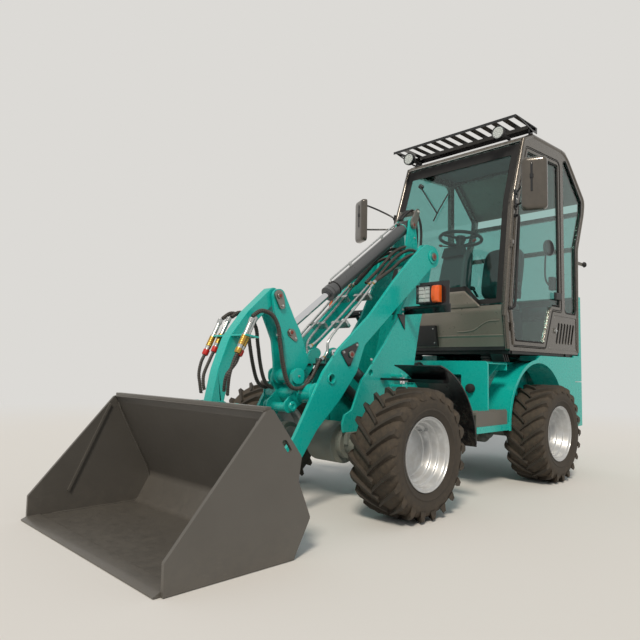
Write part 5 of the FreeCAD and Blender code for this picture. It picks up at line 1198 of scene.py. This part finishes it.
on("door", "plastic").turned([(0.070, 0), (0.074, 0.006), (0.074, 0.016), (0.060, 0.024), (0.050, 0.018),
                              (1e-5, 0.016)], Vector((-1.560, 0.578, 2.010)), (0.2, 1, 0), 32)
stay = smooth_row([(-1.700, 0.560, 1.700), (-1.640, 0.545, 1.690), (-1.585, 0.540, 1.760),
                   (-1.570, 0.552, 1.930),
                   (-1.562, 0.570, 2.000)], 0.010)
on("door", "plastic").tube(stay, 0.008, 12)
# The rear post's door stop: a flat bar with a rubber buffer
on("rear", "stop_bar").box((-2.300, 0.606, 1.935), (-2.120, 0.616, 1.965))
on("rear", "pads").turned([(0.026, 0), (0.028, 0.006), (0.022, 0.020), (0.016, 0.026), (1e-5, 0.028)],
                          (-2.275, 0.616, 1.950), Y_AXIS, 24)

# Vent covers: a pressed plate with six leaning slots, and the wing latch that holds it


def leaning_slot(top_x, lean=0.052, half=0.0185, top=1.322, foot=1.166):
    """A slot with round ends that leans back as it rises."""
    row = []
    for x, z, turn in ((top_x, top, 0), (top_x + lean, foot, 180)):
        row += [(x + half * math.cos(math.radians(turn + a * 30)),
                 z + half * math.sin(math.radians(turn + a * 30)))
                for a in range(7)]
    return row


vents = Draft().pierced(
    [(-2.0855, 1.0925), (-1.4645, 1.0925), (-1.6060, 1.4015), (-2.0855, 1.4015)],
    [leaning_slot(-1.708 - k * 0.064) for k in range(6)], 0.5985, 0.6055, lambda x, z, y: (x, y, z))
vents_piece = vents.both_sides().made("vent_covers", "rear", cab_bronze, "cab_grey", 0.0012)
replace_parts(vents_piece, "vent_panels")
on("rear", "bolts", True).turned([(0.015, 0), (0.015, 0.004), (0.011, 0.006)],
                                 Vector((-1.625, 0.6055, 1.262)),
                                 Y_AXIS, 24)
on("rear", "bolts", True).slab(((-1.652, 1.258), (-1.598, 1.268), (-1.600, 1.276),
                                (-1.654, 1.266)), 0.6105, 0.6190)
on("rear", "bolts", True).slab(((-1.630, 1.238), (-1.620, 1.238), (-1.616, 1.290),
                                (-1.626, 1.290)), 0.6105, 0.6200)
back_plate = Draft().box((-2.070, 0.578, 1.130), (-1.500, 0.581, 1.370))
back_plate.both_sides().made("vent_backs", "rear", black_plastic, "black_plastic", 0.001)

# Under the cab: an outrigger frame and bonded mounts
for x in (-0.877, -1.902):
    on("rear", "dark_metal").box((x - 0.045, -0.5995, 1.034), (x + 0.045, 0.5995, 1.0595))
    on("rear", "mounts",
       True).turned([(0.066, 0.0), (0.066, 0.008), (0.048, 0.010), (0.047, 0.020), (0.058, 0.030),
                     (0.058, 0.044), (0.047, 0.052), (0.066, 0.060), (0.066, 0.0635)],
                    (x, 0.360, 0.9705), Z_AXIS, 36)
on("rear", "dark_metal", True).box((-2.100, 0.530, 1.036), (-0.800, 0.590, 1.0590))
for x, slant in ((-0.905, 0.05), (-1.560, -0.05)):
    for k in range(3):
        start = x + k * 0.034
        on("rear", "dark_metal", True).slab(
            [(start + dx + slant * (z - 0.975) / 0.08, z) for dx, z in
             ((0, 0.9705), (0.012, 0.9705), (0.012, 1.0340), (0, 1.0340))], 0.430, 0.540)

# Roof: work lamps with a finned shell, a rim and an array of lenses
shells, faces, covers = Draft(), Draft(), Draft()
for foot, way in ((Vector((-0.936, 0.466, 2.910)), X_AXIS), (Vector((-2.171, 0.466, 2.8272)), -X_AXIS)):
    shells.turned([(0.012, 0.001), (0.030, 0.001), (0.040, 0.006), (0.048, 0.014), (0.0570, 0.040),
                   (0.0575, 0.0655),
                   (0.0560, 0.0680), (0.0520, 0.0680), (0.0510, 0.0600), (0.0490, 0.0580), (1e-5, 0.0580)],
                  foot, way, 48)
    side = way.cross(Z_AXIS)
    for k in range(9):
        reach = (k - 4) * 0.010
        tall = math.sqrt(0.040 ** 2 - reach ** 2)
        corners = [foot + side * (reach + dx) + Z_AXIS * z for dx, z in
                   ((-0.0015, -tall), (0.0015, -tall), (0.0015, tall), (-0.0015, tall))]
        shells.rows([[c + way * 0.0005 for c in corners], [c + way * 0.030 for c in corners]])
    faces.turned([(0.0495, 0.0585), (0.0495, 0.0610), (1e-5, 0.0612)], foot, way, 40)
    for ring, number in ((0.0, 1), (0.019, 6), (0.038, 12)):
        for k in range(number):
            a = 2 * math.pi * k / number
            spot = foot + side * (ring * math.cos(a)) + Z_AXIS * (ring * math.sin(a)) + way * 0.0605
            faces.turned([(0.0082, 0), (0.0074, 0.0025), (0.0045, 0.0042), (1e-5, 0.0048)], spot, way, 14)
    covers.turned([(0.0518, 0.0640), (0.0518, 0.0668), (1e-5, 0.0675)], foot, way, 40)
shells.box((-1.0815, 0.4555, 2.8985), (-0.915, 0.4765, 2.9235))
shells.turned([(0.010, 0.0004), (0.010, 0.080)], Vector((-2.1495, 0.466, 2.7741)), (-0.652, 0, 0.758), 20)
shell_piece = shells.both_sides().made("work_lamp_shells", "rear", black_plastic, "black_plastic", 0.0008)
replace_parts(shell_piece, "work_lamps")
faces.both_sides().made("work_lamp_faces", "rear", white_led, "lamp_lens", sharp=25)
covers.both_sides().made("work_lamp_covers", "rear", lamp_glass, "lamp_lens")
# Visor: a folded sheet with twelve slots fore and aft, on two end plates
slots = [[(-0.893, y), (-1.137, y), (-1.137, y + 0.053), (-0.893, y + 0.053)]
         for y in (-0.6215 + 0.1035 * k + 0.0260 for k in range(12))]
sheet = Draft().pierced([(-0.858, -0.636), (-1.250, -0.636), (-1.250, 0.636), (-0.858, 0.636)], slots,
                        3.009, 3.014,
                        lambda x, y, z: (x, y, z))
sheet.box((-0.862, -0.636, 2.990), (-0.857, 0.636, 3.0135)).box((-1.2505, -0.636, 2.988),
                                                                (-1.2455, 0.636, 3.0135))
for y in (-0.636, 0.631):
    sheet.pierced([(-0.860, 3.0135), (-1.250, 3.0135), (-1.250, 2.960), (-1.180, 2.958)],
                  [[(-0.960, 3.006), (-1.222, 3.006), (-1.222, 2.978), (-1.172, 2.974)]], y, y + 0.005,
                  lambda x, z, depth: (x, depth, z))
sheet.box((-1.236, -0.604, 2.940), (-1.176, -0.590, 3.0095)).box((-1.236, 0.590, 2.940),
                                                                 (-1.176, 0.604, 3.0095))
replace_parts(sheet.made("visor_sheet", "rear", black_enamel, "black_paint", 0.0008), "visor")
# A drip rail under the visor
rail = [Vector((FRONT_AXLE_X - 1.655, y, 2.862)) for y in (-0.600, -0.3, 0.0, 0.3, 0.600)]
on("rear", "clamps").tube(smooth_row(rail, 0.05), 0.0085, 12)

# Mirrors: rounded shells on two bent tubes from a post bracket
heads, arms = Draft(), Draft()


def rounded_plate(half_y, half_z, radius, step=6):
    """Corners of a rounded rectangle, as (y, z) about its middle."""
    row = []
    for cy, cz, turn in ((1, 1, 0), (-1, 1, 90), (-1, -1, 180), (1, -1, 270)):
        for k in range(step + 1):
            a = math.radians(turn + 90 * k / step)
            row.append((cy * (half_y - radius) + radius * math.cos(a),
                        cz * (half_z - radius) + radius * math.sin(a)))
    return row


head_middle = Vector((-0.668, 0.876, 2.330))
head_out = Vector((0.907, 0.421, 0))
head_side = Vector((-0.421, 0.907, 0))


def mirror_ring(half_wide, half_tall, radius, out):
    return [head_middle + head_side * a + Z_AXIS * b + head_out * out for a, b in
            rounded_plate(half_wide, half_tall, radius)]


heads.rows([mirror_ring(0.0960 * share, 0.2060 - (1 - share) * 0.100, 0.034 * share, out) for out,
            share in (
    (-0.018, 0.985), (-0.017, 1.0), (-0.002, 1.0), (0.012, 0.985), (0.022, 0.950), (0.029, 0.89),
    (0.034, 0.80),
    (0.0365, 0.62), (0.0372, 0.35))])
glass = Draft().rows([mirror_ring(0.086, 0.196, 0.026, out) for out in (-0.0184, -0.0181)])
tops = smooth_row([(-0.874, 0.628, 2.352), (-0.850, 0.680, 2.390), (-0.780, 0.770, 2.448),
                   (-0.700, 0.838, 2.486),
                   (-0.650, 0.868, 2.496), (-0.630, 0.874, 2.480), (-0.6285, 0.874, 2.430)], 0.012)
lows = smooth_row([(-0.874, 0.628, 2.248), (-0.800, 0.720, 2.246), (-0.700, 0.832, 2.246),
                   (-0.645, 0.868, 2.250),
                   (-0.6285, 0.874, 2.280)], 0.012)
arms.tube(tops, 0.0085, 14).tube(lows, 0.0085, 14)
arms.tube([(-0.6285, 0.874, z) for z in (2.262, 2.35, 2.450)], 0.0085, 14)
arms.turned([(0.014, 0), (0.014, 0.030)], (-0.6290, 0.874, 2.365), Z_AXIS, 18)
foot = Draft().box((-0.892, 0.6105, 2.216), (-0.858, 0.6290, 2.384))
for z in (2.352, 2.248):
    foot.turned([(0.018, 0), (0.018, 0.026), (0.013, 0.030)], (-0.874, 0.612, z), Y_AXIS, 24)
head_piece = heads.both_sides().made("mirror_heads", "rear", mirror_shell_painted_reflection, "black_plastic", sharp=50)
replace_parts(head_piece, "mirrors")
glass.both_sides().made("mirror_faces", "rear", lamp_silver, "lamp_lens")
arms.both_sides().made("mirror_arms", "rear", black_enamel, "black_paint", sharp=50)
foot.both_sides().made("mirror_feet", "rear", black_enamel, "black_paint", 0.003)

# Wiper: motor, arm and blade on the windscreen
wiper_foot = on_screen(2.644, 0.004) + Y_AXIS * -0.394
on("rear", "plastic").turned([(0.022, -0.02), (0.022, 0.012), (0.014, 0.018)], wiper_foot, (1, 0, 0.1), 20)
on("rear",
   "plastic").tube(smooth_row([wiper_foot + X_AXIS * 0.014, on_screen(2.480, 0.030) + Y_AXIS * -0.262,
                               on_screen(2.308, 0.022) + Y_AXIS * -0.125], 0.02), 0.0065, 10)
blade = [on_screen(z, 0.014) + Y_AXIS * y for z,
         y in ((2.487, -0.048), (2.410, -0.081), (2.330, -0.116), (2.240, -0.155))]
on("rear", "plastic").tube(smooth_row(blade, 0.02), 0.0065, 8)

# Inside the cab


def cushion(name, rows):
    """A crowned pad lofted through rings and smoothed."""
    piece = Draft().rows(rows).made(name, "rear", seat_vinyl, "seat_vinyl", sharp=60)
    foam = piece.modifiers.new("foam", "SUBSURF")
    foam.levels = foam.render_levels = 2
    return piece


def pad_ring(middle, along, across, half_long, half_wide, pull):
    """A ring of a pad: straight sides drawn in between rounded corners."""
    ring = []
    for k in range(24):
        a = 2 * math.pi * k / 24
        c, s = math.cos(a), math.sin(a)
        u = math.copysign(abs(c) ** 0.42, c) * half_long
        v = math.copysign(abs(s) ** 0.42, s) * half_wide
        ring.append(middle + along * u * (1 - pull * s * s) + across * v * (1 - pull * c * c))
    return ring


seat_middle = Vector((FRONT_AXLE_X - 2.180, 0, 1.470))
long_way = Vector((1, 0, 0.03)).normalized()
rise = Vector((-0.03, 0, 1)).normalized()
base_pad = cushion("seat_cushion", [
    pad_ring(seat_middle + rise * h, long_way, Y_AXIS, 0.222 * share, 0.222 * share, 0.015)
    for h, share in ((0.004, 0.80), (0.008, 0.95), (0.024, 1.0), (0.040, 1.0), (0.044, 0.985), (0.048, 1.0),
                     (0.066, 0.985), (0.080, 0.93), (0.088, 0.80), (0.090, 0.55), (0.0905, 0.25))])
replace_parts(base_pad, "seat")
back_foot = Vector((FRONT_AXLE_X - 2.345, 0, 1.600))
back_way = Vector((-0.118, 0, 0.52)).normalized()
back_out = Vector((back_way.z, 0, -back_way.x))
cushion("seat_back", [
    pad_ring(back_foot + back_way * 0.268 + back_out * (h - 0.055), back_way, Y_AXIS, 0.272 * share,
             0.212 * share,
             0.02)
    for h, share in ((0.000, 0.70), (0.006, 0.93), (0.022, 1.0), (0.050, 1.0), (0.054, 0.985), (0.058, 1.0),
                     (0.078, 0.985), (0.094, 0.92), (0.102, 0.78), (0.104, 0.50), (0.1045, 0.22))])
for name, offset, size in (("left", 0.245, 1), ("right", -0.245, 1)):
    cushion("seat_rest_" + name, [
        pad_ring(Vector((FRONT_AXLE_X - 2.160, offset, 1.700)) + Z_AXIS * h, X_AXIS, Y_AXIS, 0.130 * share,
                 0.026 * share, 0.0)
        for h,
        share in ((0.0, 0.8), (0.006, 0.97), (0.024, 1.0), (0.036, 0.93), (0.040, 0.7), (0.041, 0.3))])
    on("rear", "dark_metal").rows([[(x + dx, offset * 0.93 + dy, z) for dx, dy in
                                    ((0, -0.008), (0.03, -0.008), (0.03, 0.008), (0, 0.008))]
                                   for x,
                                   z in ((FRONT_AXLE_X - 2.340, 1.640), (FRONT_AXLE_X - 2.270, 1.700))])
on("rear", "plastic").rows([[back_foot + back_way * s + back_out * -0.060 + Y_AXIS * y for s, y in
                             ((0.02, -0.19), (0.48, -0.17), (0.48, 0.17), (0.02, 0.19))],
                            [back_foot + back_way * s + back_out * -0.050 + Y_AXIS * y for s, y in
                             ((0.01, -0.20), (0.50, -0.18), (0.50, 0.18), (0.01, 0.20))]])

# Console with the loader levers at the driver's right, and the steering cowl
console = Draft()
console.box((-1.822, -0.430, 1.122), (-1.382, -0.300, 1.560))
console.slab(((-1.815, 1.560), (-1.390, 1.560), (-1.402, 1.600), (-1.480, 1.619),
              (-1.815, 1.612)), -0.425, -0.305)
console_piece = console.made("side_console", "rear", dash_grey, "black_plastic", 0.008)
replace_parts(console_piece, "console")
for number, (x, lean) in enumerate(((-1.440, 0.03), (-1.520, 0.00), (-1.600, -0.02))):
    foot = Vector((x, -0.365, 1.612))
    top = foot + Vector((lean, 0.01, 0.170))
    on("rear", "plastic").turned([(0.026, -0.004), (0.022, 0.012), (0.012, 0.030), (0.007, 0.040)], foot,
                                 Z_AXIS, 20)
    on("rear", "chrome").tube([foot, foot.lerp(top, 0.5), top], 0.005, 10)
    on("rear",
       "grips").turned([(0.009, -0.012), (0.016, 0.004), (0.017, 0.020), (0.012, 0.034), (1e-5, 0.038)],
                       top, Z_AXIS, 20)
cowl_rows = []
for z, x, half_x, half_y in ((1.125, -0.885, 0.085, 0.150), (1.300, -0.892, 0.085, 0.150),
                             (1.600, -0.925, 0.080, 0.135),
                             (1.820, -0.975, 0.075, 0.125), (1.930, -1.005, 0.070, 0.120),
                             (1.965, -1.015, 0.055, 0.100)):
    cowl_rows.append([Vector((x + dx, y, z)) for y, dx in rounded_plate(half_y, half_x, 0.030, 5)])
Draft().rows(cowl_rows).made("steering_cowl", "rear", dash_grey, "black_plastic", sharp=40)
hub_way = Vector((-0.1536, 0, 0.9312)).normalized()
on("rear", "plastic").slab([(-0.960, 1.960), (-0.910, 1.900), (-0.896, 1.910), (-0.940, 2.000)], -0.110,
                           0.110)
wheel_top = Vector((-1.0421, 0, 2.0907)) + hub_way * 0.0145
on("handwheel",
   "plastic").turned([(0.045, -0.030), (0.050, -0.010), (0.044, 0.004), (0.030, 0.010), (1e-5, 0.012)],
                     wheel_top, hub_way, 36)
on("handwheel", "grips").turned([(0.012, 0.0115), (0.012, 0.0135), (1e-5, 0.0145)], wheel_top, hub_way, 24)
for sign in (1, -1):
    lever = smooth_row([Vector((-1.000, sign * 0.030, 2.015)), Vector((-0.990, sign * 0.110, 2.025)),
                        Vector((-0.985, sign * 0.170, 2.040))], 0.01)
    on("rear", "plastic").tube(lever, 0.006, 10)
    on("rear", "grips").turned([(0.010, -0.01), (0.012, 0.010), (0.008, 0.022), (1e-5, 0.024)], lever[-1],
                               lever[-1] - lever[-2], 16)
# Floor mat, pedals and roof lining
on("rear", "pads").box((-1.95, -0.555, 1.1205), (-0.815, 0.555, 1.1290))
for y in (-0.180, 0.180):
    on("rear", "dark_metal").rows([[(x + dx, y + dy, z + dz) for dx, dy, dz in
                                    ((0, -0.04, 0), (0, 0.04, 0), (0.008, 0.04, 0.006),
                                     (0.008, -0.04, 0.006))]
                                   for x, z in ((-0.930, 1.240), (-1.000, 1.145))])
lining = Draft().slab(ahead_of_axle([(-1.700, 2.842), (-1.830, 2.905), (-2.440, 2.935), (-2.440, 2.925),
                                     (-1.830, 2.895), (-1.700, 2.832)]), -0.560, 0.560)
lining.made("roof_lining", "rear", dash_grey, "black_plastic", 0.003)

# Rear: radiator core behind the hood's slots, tail lamps, hood catch and tow pin
core = Draft().box((-2.218, -0.285, 1.100), (-2.200, 0.285, 1.560))
for k in range(38):
    z = 1.106 + k * 0.012
    core.box((-2.2215, -0.280, z), (-2.2175, 0.280, z + 0.004))
core.made("radiator_core", "rear", chassis_black, "black_paint")
for sign in (1, -1):
    low, high = sorted((sign * 0.400, sign * 0.520))
    on("hood_body", "plastic").box((-2.262, low, 0.855), (-2.2515, high, 0.945))
    for kind, y, half_wide in (("tail_red", 0.466, 0.026), ("tail_amber", 0.422, 0.016)):
        on("hood_body", kind).rows([[(x, sign * y + a * share, 0.900 + b * share) for a, b in
                                     rounded_plate(half_wide, 0.038, 0.008)]
                                    for x, share in ((-2.2615, 1.0), (-2.276, 1.0), (-2.281, 0.85))])
on("hood_body", "plastic").box((-2.262, -0.060, 1.045), (-2.2515, 0.060, 1.085))
on("hood_body", "bolts").box((-2.270, -0.012, 1.050), (-2.2615, 0.012, 1.080))
on("rear",
   "tow_pin").turned([(0.0135, -0.052), (0.0145, -0.048), (0.0145, 0.045), (0.024, 0.046), (0.024, 0.052),
                      (0.014, 0.056), (0.014, 0.080), (1e-5, 0.084)], (-2.302, 0, 0.465), Z_AXIS,
                     28)

for (body, kind, pair), draft in gathered.items():
    material, slot, bevel = FITTINGS[kind]
    if pair:
        draft.both_sides()
    draft.made("%s_%s%s" % (body, kind, "_pair" if pair else ""), body, material, slot, bevel, sharp=30)

# Studio and camera

BACKDROP = "DCDAD6"


def studio():
    """A pale seamless floor, soft light from a bright room and one broad lamp like a low sun."""
    floor_size = 40.0
    mesh = bpy.data.meshes.new("studio_floor")
    ring = [(floor_size * math.cos(a * math.pi / 32), floor_size * math.sin(a * math.pi / 32), 0.0)
            for a in range(64)]
    mesh.from_pydata(ring, [], [tuple(range(64))])
    floor = bpy.data.objects.new("studio_floor", mesh)
    bpy.context.scene.collection.objects.link(floor)
    material = bpy.data.materials.new("studio_floor")
    material.use_nodes = True
    tree = material.node_tree
    shader = tree.nodes["Principled BSDF"]
    shader.inputs["Base Color"].default_value = colour(BACKDROP)
    shader.inputs["Roughness"].default_value = 0.85
    place = add(material, "ShaderNodeTexCoord")
    reach = add(material, "ShaderNodeVectorMath", {0: (place, "Object")}, operation="LENGTH")
    far = add(material, "ShaderNodeMapRange",
              {"Value": (reach, "Value"), FROM_LOW: 4.5, FROM_HIGH: 11.0, TO_LOW: 0.0, TO_HIGH: 1.0},
              interpolation_type="SMOOTHSTEP")
    path = add(material, "ShaderNodeLightPath")
    seen = add(material, "ShaderNodeMath", {0: (far, "Result"), 1: (path, "Is Camera Ray")},
               operation="MULTIPLY")
    glow = add(material, "ShaderNodeEmission", {"Color": colour(BACKDROP), "Strength": 1.0})
    both = add(material, "ShaderNodeMixShader",
               {0: (seen, "Value"), 1: (shader, "BSDF"), 2: (glow, "Emission")})
    tree.links.new(both.outputs[0], tree.nodes["Material Output"].inputs["Surface"])
    mesh.materials.append(material)

    world = bpy.data.worlds.new("studio")
    bpy.context.scene.world = world
    world.use_nodes = True
    world.node_tree.nodes.clear()
    path = add(world, "ShaderNodeLightPath")
    first = add(world, "ShaderNodeMath", {0: (path, "Is Camera Ray"), 1: (path, "Is Transmission Ray")},
                operation="MAXIMUM")
    shown = add(world, "ShaderNodeMath", {0: (first, "Value"), 1: (path, "Is Glossy Ray")},
                operation="MAXIMUM")
    room = add(world, "ShaderNodeBackground", {"Color": colour("E9EDF2"), "Strength": 0.55})
    wall = add(world, "ShaderNodeBackground", {"Color": colour(BACKDROP), "Strength": 1.0})
    both = add(world, "ShaderNodeMixShader", {0: (shown, "Value"), 1: (room, "Background"),
                                              2: (wall, "Background")})
    end = add(world, "ShaderNodeOutputWorld")
    world.node_tree.links.new(both.outputs[0], end.inputs["Surface"])

    lamp = bpy.data.lights.new("broad_lamp", "SUN")
    lamp.energy, lamp.angle = 2.3, math.radians(12)
    lamp.color = colour("FFF4E4")[:3]
    sun = bpy.data.objects.new("broad_lamp", lamp)
    sun.rotation_euler = Vector((-0.62, -0.42, -0.78)).to_track_quat("-Z", "Y").to_euler()
    bpy.context.scene.collection.objects.link(sun)


studio()


def photographer():
    """The camera that fits the photograph: where it stood, how it was turned and its focal length."""
    yaw, pitch, roll = (math.radians(angle) for angle in (-134.51, 4.609, 1.045))
    ahead = Vector((math.cos(yaw) * math.cos(pitch), math.sin(yaw) * math.cos(pitch), math.sin(pitch)))
    right = ahead.cross(Z_AXIS).normalized()
    up = right.cross(ahead)
    across = right * math.cos(roll) + up * math.sin(roll)
    upright = up * math.cos(roll) - right * math.sin(roll)
    data = bpy.data.cameras.new("photographer")
    data.sensor_width = 36.0
    data.lens = 580.37 * 36.0 / 640.0
    data.clip_end = 200.0
    camera = bpy.data.objects.new("photographer", data)
    turn = Matrix((across, upright, -ahead)).transposed().to_4x4()
    camera.matrix_world = Matrix.Translation(Vector((3.5232, 2.8321, 0.9032))) @ turn
    bpy.context.scene.collection.objects.link(camera)
    bpy.context.scene.camera = camera


photographer()
bpy.context.scene.view_settings.view_transform = "Standard"
